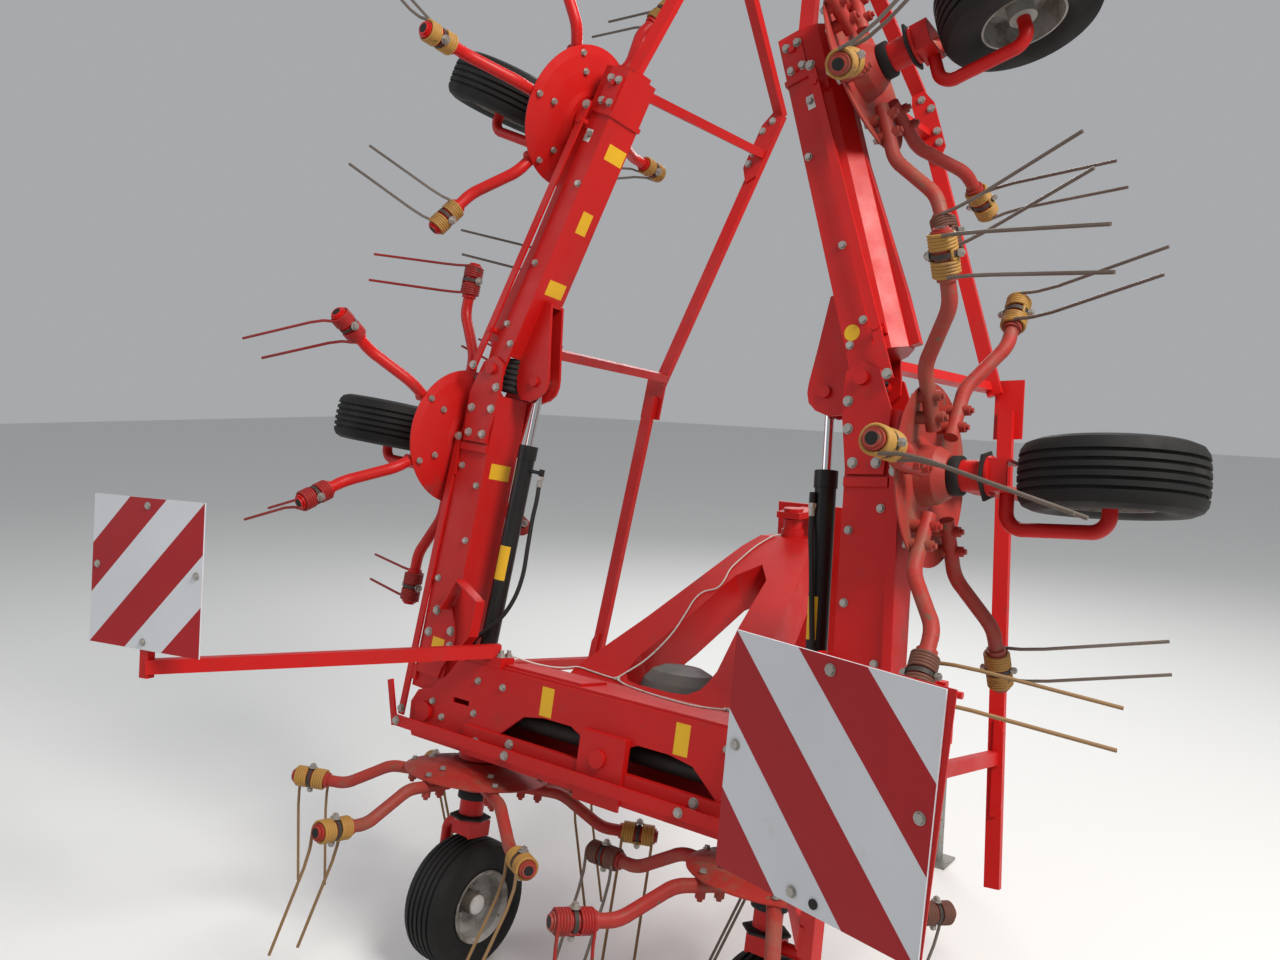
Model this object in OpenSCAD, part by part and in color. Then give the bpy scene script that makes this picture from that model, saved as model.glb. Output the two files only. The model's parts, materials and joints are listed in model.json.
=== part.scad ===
// Six-rotor mounted hay tedder, folded upright for the road and parked on its two
// centre wheels and a drop-down stand. X is the machine's right, Y is forward towards
// the tractor, Z is up, and the ground is Z = 0 under the centre wheels' axles.
// The frame is built level and then pitched nose-down. The wings are built straight
// out as for work and then swung up about their hinges.

/* [Stance] */
// Part to draw
// Nose-down pitch of the whole frame on its wheels, degrees
frame_pitch = 10.8; // [0:0.1:20]
// Fore-and-aft distance from the centre wheels' axles to the middle of the folded machine's outline
mid_y = 437; // [0:1:600]
// Upward swing of each inner wing from the working position, degrees
fold_in = 94; // [0:0.5:100]
// Further inward swing of each outer wing on its inner wing, degrees
fold_out = 16.5; // [0:0.5:25]

/* [Rotors] */
// Distance between neighbouring rotor axes
rotor_pitch = 1070; // [900:10:1300]
// Fore-and-aft position of every rotor axis, behind the wheel axles
rotor_y = -30; // [-100:5:50]
// Height of the dish rims above the wheel axles
dish_z = 405; // [350:5:460]
// Radius of a rotor dish
dish_r = 225; // [180:5:260]
// Number of arms on a rotor
arm_count = 6; // [6]
// Radius of the arm tubes
arm_tube_r = 18; // [14:1:22]
// Height of the straight outer run of an arm above the axles
arm_low_z = 300; // [260:5:340]
// Bend radius of the two bends in an arm
arm_bend_r = 100; // [80:5:140]
// Angle that the arm dips between its bends
arm_dip = 30; // [20:1:45]
// Length of arm that shows past its outer coil
arm_tip = 9; // [4:1:20]

/* [Spring tines] */
// Wire radius of the tines
wire_r = 4.5; // [3.5:0.5:6]
// Outer radius of a spring coil
coil_r = 33; // [28:1:40]
// Turns in each coil
coil_turns = 5; // [3:1:7]
// Start radius of the inner coil along the arm
coil_start_r = 481; // [460:1:500]
// Gap between the two coils of a pair, where the clamp sits
coil_gap = 12; // [8:1:20]
// Straight drop of a tine before its kink
tine_drop = 70; // [40:5:110]
// Length of a tine after its kink
tine_len = 322; // [240:2:380]
// Sideways lean of the tine after its kink, degrees
tine_lean = 19; // [0:1:30]

/* [Wheels] */
// Outer radius of the tyres
tyre_r = 200; // [180:5:230]
// Width of the tyres
tyre_w = 160; // [120:5:180]
// Radius of the rims
rim_r = 104; // [95:1:120]
// Radius of the bent leg tube that carries a wheel
leg_r = 17; // [12:1:22]
// Sideways reach of the leg from the tyre's middle plane
leg_reach = 122; // [105:1:140]

/* [Centre frame] */
// Half length of the closed part of the main beam
beam_half = 520; // [440:5:600]
// Bottom of the main beam above the axles
beam_z0 = 475; // [470:1:520]
// Top of the lower ledge that runs along the beam's rear face
ledge_z = 563; // [540:1:600]
// How far the ledge stands out behind the beam
ledge_d = 14; // [6:1:20]
// Top of the main beam above the axles
beam_z1 = 750; // [700:5:800]
// Rear face of the main beam
beam_y0 = -112; // [-140:1:-100]
// Front face of the main beam
beam_y1 = 54; // [40:1:90]
// Plate thickness of the main beam
beam_t = 9; // [6:1:14]
// Sideways position of the inner wing hinges
hinge_x = 720; // [680:1:780]
// Height of both wing hinges above the axles
hinge_z = 562; // [540:1:620]
// Distance from the inner to the outer wing hinge
wing_step = 1117; // [1050:1:1200]
// Radius of the wing hinge pins
pin_r = 18; // [14:1:24]

/* [Wing arms] */
// Rear face of the wing arms
arm_y0 = -98; // [-110:1:-80]
// Front face of the wing arms
arm_y1 = 40; // [20:1:60]
// Top of the wing arms above the hinge line
arm_up = 38; // [20:1:60]
// Bottom of the wing arms below the hinge line
arm_dn = 96; // [80:1:120]
// Thickness of the ear plates on the outer arms
ear_t = 9; // [6:1:14]

/* [Fold cylinders] */
// Distance of a cylinder's base pin past the closed part of the main beam
cyl_out = 70; // [60:1:90]
// Height of a cylinder's base pin above the axles
cyl_z = 660; // [630:1:700]
// Fore-and-aft position of the cylinders
cyl_y = -13; // [-20:1:20]
// Outer radius of a barrel
barrel_r = 28; // [24:1:34]
// Length of a barrel from its base pin
barrel_len = 790; // [740:5:860]
// Radius of a rod
rod_r = 12.5; // [10:0.5:16]
// Position of the rod pin along the outer arm from its hinge
ear_a = 21; // [0:1:60]
// Height of the rod pin above the outer hinge
ear_c = 131; // [110:1:150]

/* [Front guards] */
// Fore-and-aft position of the guard bars
guard_y = 835; // [760:5:900]
// Depth of a guard bar's channel section
guard_h = 46; // [36:1:60]

/* [Warning boards] */
// Side of a square warning board
board_side = 423; // [400:1:430]
// Thickness of a board
board_t = 4; // [2:0.5:6]
// Sideways position of a board's middle
board_x = 1035; // [980:5:1100]
// Fore-and-aft position of the left board's middle
board_yl = -931; // [-1000:1:-850]
// Fore-and-aft position of the right board's middle
board_yr = -903; // [-1000:1:-850]
// Height of the left board's middle above the axles
board_zl = 920; // [820:1:960]
// Height of the right board's middle above the axles
board_zr = 857; // [820:1:960]
// Backward lean of the boards, degrees
board_lean = 6; // [0:0.5:10]
// Outward turn of the boards, degrees
board_toe = 12.5; // [0:0.5:20]
// Sideways roll of the boards, degrees
board_roll = 2.6; // [0:0.1:6]
// Length of a board's post below the board's middle
board_post = 292; // [240:1:320]

/* [Drawbar] */
// Rise of the drawbar's top above the frame's own level, degrees
draw_a = 36.87; // [25:0.01:45]
// Height at which the drawbar's top meets the front of the beam
draw_z = 723.5; // [690:0.5:745]
// Half width of the drawbar at the beam
draw_half = 318; // [280:1:350]
// Depth of the drawbar's side boxes, square to its top
draw_d = 150; // [110:5:160]
// Half width of the window at its widest
window_half = 142; // [120:1:160]
// Height above the ground of the flat at the drawbar's tip
tip_z = 1302; // [1280:1:1330]

/* [Driveline] */
// Fore-and-aft position of the input gearbox's middle
box_y = 246; // [230:1:260]
// Radius of the round guard over the input gearbox
guard_r = 125; // [110:1:132]
// Height of the guard's lower rim above the axles
guard_z0 = 643; // [640:1:680]
// Height of the guard's crown above the axles
guard_z1 = 836; // [800:1:850]
// Height of the input shaft above the axles
shaft_z = 604; // [600:1:622]
// Radius of the input shaft
shaft_r = 17.5; // [17.5]

/* [Hitch] */
// Fore-and-aft position of the headstock's swivel pin, on the ground frame
swivel_y = 1065; // [1000:5:1200]
// Half distance between the lower link pins' shoulders
link_half = 360; // [330:5:420]
// Height of the lower link pins above the ground
link_z = 700; // [560:5:760]
// Height of the top link pin above the ground
top_z = 1230; // [1100:5:1300]
// Fore-and-aft position of the lower link pins
link_y = 1560; // [1450:5:1650]
// Radius of the lower link pins
link_pin_r = 14; // [11:0.5:14]
// Distance from the swivel pin forward to the top link's bore
top_reach = 265; // [240:5:280]
// Radius of the top link's bore
top_bore_r = 12.9; // [12.8:0.1:13.5]
// Distance of the parking stand outside the shoulders of the lower link pins
stand_out = 8; // [0:1:20]
// Fore-and-aft position of the parking stand
stand_y = 1643; // [1600:1:1700]

/* [Hidden] */
$fn = 48;
run = 5;              // running clearance between moving plates
seat = 0.3;           // clearance between seated pieces
out_x = hinge_x + wing_step;
in_rotor = rotor_pitch * 1.5;
out_rotor = rotor_pitch * 2.5;
c_rotor = rotor_pitch * 0.5;
coil_len = coil_turns * wire_r * 2;
coil_in_r = coil_r - wire_r * 2;
sleeve_r = coil_in_r - seat;
tine_r = wire_r - 0.4;
coil2_start = coil_start_r + coil_len + coil_gap;
arm_end_r = coil2_start + coil_len + arm_tip;
bend_start = coil_start_r - 231;
cyl_x = beam_half + cyl_out;
stand_x = link_half + stand_out;
dip_dz = 381 - arm_low_z - 2 * arm_bend_r * (1 - cos(arm_dip));
dip_len = dip_dz / sin(arm_dip);
core_r = 38;

// ---- placing

module machine() translate([0, -mid_y, tyre_r]) rotate([-frame_pitch, 0, 0]) children();

module side(s) {
  if (s > 0) children();
  else mirror([1, 0, 0]) children();
}

module swing(x, a) translate([x, 0, hinge_z]) rotate([0, -a, 0]) translate([-x, 0, -hinge_z]) children();

// things on the level headstock side are placed by their distance from the axles too
module ground() translate([0, -mid_y, 0]) children();

// level 0 is the centre frame, 1 an inner wing and 2 an outer wing
module place(s, level) machine() side(s) {
  if (level == 0) children();
  if (level == 1) swing(hinge_x, fold_in) children();
  if (level == 2) swing(hinge_x, fold_in) swing(out_x, fold_out) children();
}

// round bar between two points
module rod(p, q, r) {
  d = q - p;
  l = norm(d);
  translate(p) rotate([0, acos(d[2] / l), atan2(d[1], d[0])]) cylinder(r = r, h = l);
}

// square bar between two points, one face kept level
module bar(p, q, w, h) {
  d = q - p;
  l = norm(d);
  translate(p) rotate([0, 0, atan2(d[1], d[0])]) rotate([0, -asin(d[2] / l), 0])
    translate([0, -w / 2, -h / 2]) cube([l, w, h]);
}

// plate lying in the X-Z plane, from y to y + t
module plate_xz(pts, y, t) translate([0, y + t, 0]) rotate([90, 0, 0]) linear_extrude(t) polygon(pts);

// outline of a flat bar bent along a row of points, w to each side
function seg_n(p, i) = let (d = p[i + 1] - p[i]) [-d[1], d[0]] / norm(d);
function strip_pt(p, i, w) = let (c = seg_n(p, max(i - 1, 0)) + seg_n(p, min(i, len(p) - 2))) p[i] + c * 2 * w / (c * c);
function strip(p, w) = concat([for (i = [0 : len(p) - 1]) strip_pt(p, i, w)],
  [for (i = [len(p) - 1 : -1 : 0]) strip_pt(p, i, -w)]);

// pin along Y
module ypin(x, z, y0, y1, r) translate([x, y1, z]) rotate([90, 0, 0]) cylinder(r = r, h = y1 - y0);

// ---- rotor

module dish() rotate_extrude() polygon([
  [core_r + seat, 352], [core_r + seat, 442], [78, 442], [96, 436], [150, 426], [200, 414], [dish_r, dish_z],
  [dish_r, dish_z - 4], [200, 405], [150, 417], [96, 427], [78, 420], [70, 380], [52, 352]]);

module rotor_arm() {
  z0 = 381;
  bend_r = arm_tube_r + 0.4;
  x1 = bend_start + arm_bend_r * sin(arm_dip);
  z1 = z0 - arm_bend_r * (1 - cos(arm_dip));
  x2 = x1 + dip_len * cos(arm_dip);
  z2 = z1 - dip_len * sin(arm_dip);
  x3 = x2 + arm_bend_r * sin(arm_dip);
  translate([118, 0, z0]) rotate([0, 90, 0]) cylinder(r = arm_tube_r, h = bend_start - 118 + 2);
  translate([bend_start, 0, z0 - arm_bend_r]) rotate([90, 0, 0]) rotate([0, 0, 90 - arm_dip])
    rotate_extrude(angle = arm_dip) translate([arm_bend_r, 0]) circle(r = bend_r);
  rod([x1 - 2 * cos(arm_dip), 0, z1 + 2 * sin(arm_dip)], [x2 + 2 * cos(arm_dip), 0, z2 - 2 * sin(arm_dip)], arm_tube_r);
  translate([x3, 0, arm_low_z + arm_bend_r]) rotate([90, 0, 0]) rotate([0, 0, -90 - arm_dip])
    rotate_extrude(angle = arm_dip) translate([arm_bend_r, 0]) circle(r = bend_r);
  translate([x3 - 2, 0, arm_low_z]) rotate([0, 90, 0]) cylinder(r = arm_tube_r, h = arm_end_r - x3 + 2);
  // sleeve under the coils and the clamp between them
  translate([coil_start_r - 8, 0, arm_low_z]) rotate([0, 90, 0])
    cylinder(r = sleeve_r, h = coil2_start + coil_len - coil_start_r + 11);
  translate([coil_start_r + coil_len + seat, 0, arm_low_z]) rotate([0, 90, 0])
    cylinder(r = coil_in_r + 5, h = coil_gap - 2 * seat);
  // spacers and bolts that hold the arm under the dish
  for (b = [[150, 421, 431], [204, 408, 418]]) {
    translate([b[0], 0, 385]) cylinder(r = 16, h = b[1] - 385);
    translate([b[0], 0, 342]) cylinder(r = 7, h = b[2] - 342);
    translate([b[0], 0, 350]) cylinder(r = 13, h = 20);
  }
}

module rotor(s, level, x, phase) color("red") place(s, level) translate([x, rotor_y, 0]) {
  dish();
  for (i = [0 : arm_count - 1]) rotate([0, 0, phase + i * 360 / arm_count]) rotor_arm();
}

// outline of one coil: a sleeve with one rounded ridge for each turn
function coil_outline() = concat(
  [[coil_in_r, 0], [coil_r - 2.5, 0]],
  [for (i = [0 : coil_turns - 1]) each [
    [coil_r, (i + 0.3) * 2 * wire_r], [coil_r, (i + 0.7) * 2 * wire_r], [coil_r - 2.5, (i + 1) * 2 * wire_r]]],
  [[coil_in_r, coil_len]]);

module tine(x, lean) {
  y0 = lean * (coil_r - wire_r);
  z1 = arm_low_z - tine_drop;
  y2 = y0 + lean * tine_len * sin(tine_lean);
  z2 = z1 - tine_len * cos(tine_lean);
  rod([x, y0, z1], [x, y0, arm_low_z], tine_r);
  translate([x, y0, z1]) sphere(r = tine_r + 0.5, $fn = 24);
  rod([x, y2, z2], [x, y0, z1], tine_r);
}

module tine_pair(lean) {
  for (x0 = [coil_start_r, coil2_start]) translate([x0, 0, arm_low_z]) rotate([0, 90, 0])
    rotate_extrude() polygon(coil_outline());
  tine(coil_start_r + wire_r, lean);
  tine(coil2_start + coil_len - wire_r, lean);
}

module tines(s, level, x, phase, lean) color("goldenrod") place(s, level) translate([x, rotor_y, 0])
  for (i = [0 : arm_count - 1]) rotate([0, 0, phase + i * 360 / arm_count]) tine_pair(lean);

// ---- wheels and their legs

module tyre(s, level, x) color("black") place(s, level) translate([x - tyre_w / 2, 0, 0]) rotate([0, 90, 0])
  rotate_extrude() polygon([
    [rim_r, 12], [rim_r, tyre_w - 12], [rim_r + 14, tyre_w - 4], [rim_r + 40, tyre_w],
    [tyre_r - 32, tyre_w - 2], [tyre_r - 12, tyre_w - 12], [tyre_r - 3, tyre_w - 30], [tyre_r, tyre_w / 2 + 26],
    [tyre_r, tyre_w / 2 - 26], [tyre_r - 3, 30], [tyre_r - 12, 12], [tyre_r - 32, 2], [rim_r + 40, 0], [rim_r + 14, 4]]);

// dished rim with a hub; the hub bore runs on the leg's axle end
module rim(s, level, x, out) color("silver") place(s, level) translate([x, 0, 0]) rotate([0, 90 * out, 0]) {
  rotate_extrude() polygon([
    [rim_r - seat, -tyre_w / 2 + 14], [rim_r - seat, tyre_w / 2 - 11.4], [rim_r + 8, tyre_w / 2 - 5],
    [rim_r + 5, tyre_w / 2], [rim_r - 8, tyre_w / 2 - 12], [rim_r - 10, 20], [60, 8], [34, 4], [34, 52], [0, 52],
    [0, 44], [17, 44], [17, -56], [34, -56], [34, -6], [62, -2], [rim_r - 6, 10], [rim_r - 6, -tyre_w / 2 + 14]]);
}

// fixed core through the rotor, clevis and bent leg; out is the side the leg passes the wheel on
module hub_leg(x, neck_z, out) {
  translate([x, rotor_y, 0]) {
    translate([0, 0, 448]) cylinder(r = 62, h = neck_z - 448);
    translate([0, 0, 262]) cylinder(r = core_r, h = 186 + 2);
    translate([0, 0, 325]) cylinder(r = 47, h = 24);
    translate([0, 0, 254]) cylinder(r = 48, h = 8);
    for (k = [-1, 1]) translate([k * 34 - 4, -34, 208]) cube([8, 88, 48]);
    translate([-34, -34, 212]) cube([68, 8, 44]);
  }
  b = 40;
  zt = 228;
  xb = leg_reach - b;
  elbow_r = leg_r + 0.4;
  translate([x, 0, 0]) {
    rod([out * 34, 0, zt], [out * (xb + 2), 0, zt], leg_r);
    translate([out * xb, 0, zt - b]) rotate([90, 0, 0]) rotate([0, 0, out > 0 ? 0 : 90])
      rotate_extrude(angle = 90) translate([b, 0]) circle(r = elbow_r);
    rod([out * leg_reach, 0, zt - b + 2], [out * leg_reach, 0, b - 2], leg_r);
    translate([out * xb, 0, b]) rotate([90, 0, 0]) rotate([0, 0, out > 0 ? -90 : 180])
      rotate_extrude(angle = 90) translate([b, 0]) circle(r = elbow_r);
    rod([out * 60, 0, 0], [out * (xb + 2), 0, 0], leg_r);
    rod([-out * 36, 0, 0], [out * 61, 0, 0], 16.5);
  }
}

// ---- centre frame

// hinge end plate outline
end_plate = [[beam_half - 20, beam_z0], [beam_half - 20, beam_z1], [beam_half + 80, beam_z1],
  [beam_half + 120, 696], [hinge_x - 20, 644], [hinge_x + 44, 622], [hinge_x + 70, 580], [hinge_x + 66, 520],
  [hinge_x + 46, beam_z0]];

// outline of a cut-out in the beam's rear face
beam_window = [[72, ledge_z], [70, 622], [120, 645], [225, 645], [303, 632], [387, ledge_z]];

module main_beam() color("red") place(1, 0) {
  difference() {
    translate([-beam_half, beam_y0, beam_z0]) cube([2 * beam_half, beam_y1 - beam_y0, beam_z1 - beam_z0]);
    translate([-beam_half + beam_t, beam_y0 + beam_t, beam_z0 + beam_t])
      cube([2 * beam_half - 2 * beam_t, beam_y1 - beam_y0 - 2 * beam_t, beam_z1 - beam_z0 - 2 * beam_t]);
    for (s = [-1, 1]) side(s) plate_xz(beam_window, beam_y0 - 1, beam_t + 2);
  }
  // ledge and its turned-up lip along the lower rear edge
  translate([-beam_half - 8, beam_y0 - ledge_d, beam_z0]) cube([2 * beam_half + 16, ledge_d + 1, ledge_z - beam_z0]);
  for (s = [-1, 1]) side(s) {
    difference() {
      for (y = [beam_y0, beam_y1 - beam_t]) plate_xz(end_plate, y, beam_t);
      // slot in the rear end plate
      translate([beam_half + 12, beam_y0 - 1, 615]) cube([70, beam_t + 2, 16]);
    }
    ypin(hinge_x, hinge_z, beam_y0 - 14, beam_y1 + 14, pin_r);
    for (y = [beam_y0 - 14, beam_y1]) ypin(hinge_x, hinge_z, y, y + 14, pin_r + 14);
    // lugs and pin of the fold cylinder
    for (y = [cyl_y - 41, cyl_y + 33]) plate_xz([[beam_half - 2, 620], [beam_half - 2, 700], [cyl_x + 10, 692],
      [cyl_x + 28, 660], [cyl_x + 10, 628]], y, 8);
    ypin(cyl_x, cyl_z, cyl_y - 45, cyl_y + 45, 14);
    // clamp blocks of the board arms
    translate([425, beam_y0 + 2, beam_z1 - 1]) cube([136, 58, 15]);
  }
  // overlay plate with a boss in the middle
  translate([-64, beam_y0 - ledge_d - 8, 458]) cube([160, 9, 196]);
  translate([-64, beam_y0 - ledge_d, ledge_z - 1]) cube([160, ledge_d + 1, 92]);
  ypin(8, 584, beam_y0 - ledge_d - 17, beam_y0 - ledge_d - 7, 26);
  // stepped cover plates on top
  for (c = cover_plates) translate([c[0], c[2], c[4]]) cube([c[1] - c[0], c[3] - c[2], 9]);
}

// cover plates: from x, to x, from y, to y, underside
cover_plates = [
  [-434, 400, -102, 48, beam_z1 - 1],
  [-360, 360, 46, 84, beam_z1 - 1],
  [-422, -120, -90, 30, beam_z1 + 7]];

// V drawbar: two boxes that rise to the swivel head, with a flat plate over their rear ends
// outline of the top by distance up the slope, and of the window
draw_plan = [[-draw_half, -130], [draw_half, -130], [draw_half, 90], [236, 380], [131, 834], [64, 990], [-64, 990],
  [-131, 834], [-236, 380], [-draw_half, 90]];
draw_window = [[-window_half, -140], [window_half, -140], [window_half, 200], [98, 407], [60, 665], [0, 745],
  [-60, 665], [-98, 407], [-window_half, 200]];
draw_arch = [[-window_half - 1, -20], [window_half + 1, -20], [window_half + 1, 150], [window_half - 6, 110],
  [window_half - 34, 80], [60, 73], [-60, 73], [34 - window_half, 80], [6 - window_half, 110], [-window_half - 1, 150]];

module drawbar() color("red") difference() {
  union() {
    difference() {
      v_box();
      ground() translate([-200, 0, tip_z]) cube([400, 1400, 200]);
      place(1, 0) translate([-400, -400, 300]) cube([800, 400 + beam_y1 + seat, 700]);
    }
    // upright tube at the tip, stepped above the flat
    ground() translate([0, swivel_y, 1136]) cylinder(r = 40, h = tip_z + 26 - 1136);
    ground() translate([0, swivel_y, tip_z]) cylinder(r = 33, h = 62);
  }
  ground() translate([0, swivel_y, 1130]) cylinder(r = 25.5, h = 260);
}

module v_box() place(1, 0) translate([0, beam_y1, draw_z]) rotate([draw_a, 0, 0]) {
  translate([0, 0, -draw_d]) difference() {
    linear_extrude(draw_d) polygon(draw_plan);
    translate([0, 0, -1]) linear_extrude(draw_d + 2) polygon(draw_window);
  }
  translate([0, 0, -9]) linear_extrude(9) polygon(draw_arch);
}

// input gearbox with its shaft, the tube back to the beam, and the shaft that runs along inside the beam
box_half = 80;
box_neck_r = 50;
box_neck_top = guard_z1 - 8 - 6 * box_neck_r / (guard_r - 68) - seat;

module driveline() color("dimgray") place(1, 0) {
  translate([-box_half, box_y - box_half, 540]) cube([2 * box_half, 2 * box_half, 148]);
  translate([0, box_y, 687]) cylinder(r = box_neck_r, h = box_neck_top - 687);
  translate([-60, beam_y1 + seat, 560]) cube([120, box_y - box_half + 1 - beam_y1 - seat, 78]);
  ypin(0, shaft_z, box_y + box_half - 1, box_y + 106, 32);
  ypin(0, shaft_z, box_y + 105, box_y + 205, shaft_r);
  translate([-beam_half + beam_t + seat, -29, 600]) rotate([0, 90, 0]) cylinder(r = 24, h = 2 * (beam_half - beam_t - seat));
}

// round guard that caps the gearbox, open below
module pto_guard() color("gray") place(1, 0) translate([0, box_y, 0]) rotate_extrude() polygon([
  [guard_r - 4, guard_z0], [guard_r, guard_z0], [guard_r, 748], [guard_r - 8, 784], [guard_r - 32, 814],
  [guard_r - 66, 830], [0, guard_z1], [0, guard_z1 - 8], [guard_r - 68, 822], [guard_r - 36, 807],
  [guard_r - 12, 780], [guard_r - 4, 747]]);

module centre_hubs() color("red") for (s = [-1, 1]) place(s, 0) hub_leg(c_rotor, beam_z0 - seat, 1);

// the boards: side, fore-and-aft position, height
boards = [[-1, board_yl, board_zl], [1, board_yr, board_zr]];
function board_foot(b) = [board_x - 2, b[1] + 43, b[2] - board_post + 34];

module board_frame(b) place(b[0], 0) translate([board_x, b[1], b[2]])
  rotate([0, 0, -board_toe]) rotate([board_lean, 0, 0]) rotate([0, board_roll, 0]) children();

module board_arms() color("red") for (b = boards) {
  place(b[0], 0) {
    bar([462, -80, beam_z1 + 50 + seat], board_foot(b), 40, 40);
    translate([425 + seat, beam_y0 + 2, beam_z1 + 14 + seat]) cube([135, 58, 20]);
  }
  board_frame(b) translate([-15, board_t + seat, -board_post]) cube([30, 26, board_post + 120]);
}

module warning_boards() color("white") for (b = boards) board_frame(b)
  translate([-board_side / 2, 0, -board_side / 2]) cube([board_side, board_t, board_side]);

module steering_bar() color("red") place(1, 0) {
  bar([-800, beam_y0 - 46, 520], [800, beam_y0 - 46, 520], 10, 34);
  for (s = [-1, 1]) side(s) {
    bar([800, beam_y0 - 46, 503], [850, beam_y0 - 46, 640], 8, 22);
    // lug behind the beam's ledge
    translate([290, beam_y0 - 42, 512]) cube([40, 42 - ledge_d - seat, 18]);
  }
}

// ---- hitch, on the level ground frame

module headstock() color("red") ground() {
  sy = swivel_y;
  translate([0, sy, 1100]) cylinder(r = 25, h = tip_z + 98 - 1100);
  translate([0, sy, tip_z + 87]) cylinder(r = 34, h = 14);
  // fork round the swivel, and the mast
  for (z = [1108, tip_z + 62 + run]) translate([-45, sy - 40, z]) cube([90, 205, 22]);
  translate([-150, sy + 160, 640]) cube([300, 16, 760]);
  for (k = [-1, 1]) {
    bar([k * 110, sy + 190, 1000], [k * (link_half - 20), link_y - 40, link_z], 50, 50);
    translate([k * (link_half - 20) - 25, link_y - 60, link_z - 50]) cube([50, 90, 100]);
    translate([k * (link_half - 20), link_y, link_z]) rotate([0, 90 * k, 0]) cylinder(r = link_pin_r, h = 130);
    difference() {
      translate([k * 32 - 8, sy + 170, top_z - 50]) cube([16, 130, 100]);
      translate([k * 32 - 9, sy + top_reach, top_z]) rotate([0, 90, 0]) cylinder(r = top_bore_r, h = 18);
    }
  }
  bar([-link_half + 20, link_y - 30, link_z], [link_half - 20, link_y - 30, link_z], 50, 60);
  // sleeve that guides the parking stand
  difference() {
    translate([stand_x - 32, stand_y - 32, 470]) cube([64, 64, 150]);
    translate([stand_x - 23 - seat, stand_y - 23 - seat, 469]) cube([46 + 2 * seat, 46 + 2 * seat, 152]);
  }
  translate([stand_x - 32, link_y + 20, 500]) cube([60, stand_y - 32 - link_y - 19, 230]);
}

module parking_stand() color("gray") ground() {
  translate([stand_x - 23, stand_y - 23, 8]) cube([46, 46, 640]);
  translate([stand_x - 60, stand_y - 60, 0]) cube([120, 120, 8]);
}

// ---- wings

// cheek plate at the foot of an inner arm, and the hoop on it, by distance along and above the hinge line
arm_cheek = [[110, -78], [300, -78], [345, -50], [345, 22], [300, 44], [262, 62], [210, 66], [150, 30], [110, 20]];
arm_hoop = [[205, 24], [222, 116], [280, 156], [389, 158], [436, 56], [334, 8]];

module inner_arm(s) color("red") place(s, 1) translate([hinge_x, 0, hinge_z]) {
  a1 = wing_step - 80;
  difference() {
    union() {
      translate([60, arm_y0, -arm_dn]) cube([a1 - 60, arm_y1 - arm_y0, arm_dn + arm_up]);
      ypin(0, 0, arm_y0, arm_y1, 46);
      translate([0, arm_y0, -46]) cube([62, arm_y1 - arm_y0, 84]);
    }
    ypin(0, 0, arm_y0 - 1, arm_y1 + 1, pin_r + 0.5);
  }
  plate_xz(arm_cheek, arm_y0 - 8, 9);
  plate_xz(strip(arm_hoop, 3), arm_y0 - 46, 40);
  // fork plates round the outer hinge, with a band across the rear one
  for (y = [arm_y0 - run - ear_t, arm_y1 + run]) plate_xz([[a1 - 160, -70], [a1 - 160, 30], [a1 + 20, 52],
    [wing_step + 20, 44], [wing_step + 44, 0], [wing_step + 20, -44], [a1, -80]], y, ear_t);
  for (y = [arm_y0 - run, arm_y1]) translate([a1 - 160, y, -70]) cube([110, run, 100]);
  translate([a1 - 190, arm_y0 - 9, -80]) cube([24, 10, arm_up + 78]);
  ypin(wing_step, 0, arm_y0 - run - ear_t - 12, arm_y1 + run + ear_t + 12, pin_r);
}

// side outline of the ears that take the cylinder rod, by distance along and above the outer hinge line
arm_ear = [[266, 30], [266, 62], [148, 124], [60, 172], [36, 182], [8, 184], [-18, 170], [-44, 138], [-52, 102],
  [-28, 70], [26, 36], [60, 30]];
ear_gap = 45;

module outer_arm(s) color("red") place(s, 2) translate([out_x, 0, hinge_z]) {
  len = 1010;
  difference() {
    union() {
      translate([60, 0, 0]) rotate([90, 0, 90]) linear_extrude(len - 60) polygon([[arm_y0, arm_up - 5],
        [arm_y0, -40], [arm_y0 + 14, -80], [arm_y0 + 50, -112], [arm_y1 - 50, -112], [arm_y1 - 14, -80],
        [arm_y1, -40], [arm_y1, arm_up - 5]]);
      for (y = [arm_y0, arm_y1 - ear_t]) plate_xz([[80, -60], [0, -44], [-30, -34], [-44, 0], [-30, 34], [80, 33]], y, ear_t);
    }
    ypin(0, 0, arm_y0 - 1, arm_y1 + 1, pin_r + 0.5);
  }
  // keel that deepens the arm towards the hinge
  plate_xz([[62, -104], [600, -104], [600, -113], [200, -136], [62, -138]], arm_y0 + 56, arm_y1 - arm_y0 - 112);
  // ears that take the cylinder rod, tied at their far ends
  for (y = [cyl_y - ear_gap / 2 - ear_t, cyl_y + ear_gap / 2]) plate_xz(arm_ear, y, ear_t);
  translate([256, cyl_y - ear_gap / 2 - 1, 30]) cube([10, ear_gap + 2, 32]);
  for (y = [cyl_y - ear_gap / 2 - ear_t - 10, cyl_y + ear_gap / 2 + ear_t - 1]) ypin(ear_a, ear_c, y, y + 11, 16);
  // flats that the steering rod's pins stand on
  for (a = rod_pins) translate([a - 14, arm_y0, -80]) cube([28, 40, 50]);
  // collar and end bracket over the rotor
  translate([862, arm_y0 - 6, -52]) cube([16, arm_y1 - arm_y0 + 12, 52 + arm_up]);
  translate([877, arm_y0 - 5, -34]) cube([110, 6, 60]);
  for (k = [-1, 1]) ypin(930 + k * 30, -4, arm_y0 - 12, arm_y0 - 4, 9);
}

// channel-section guard bar from p to q
module channel(p, q) bar(p, q, 24, guard_h);

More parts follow.
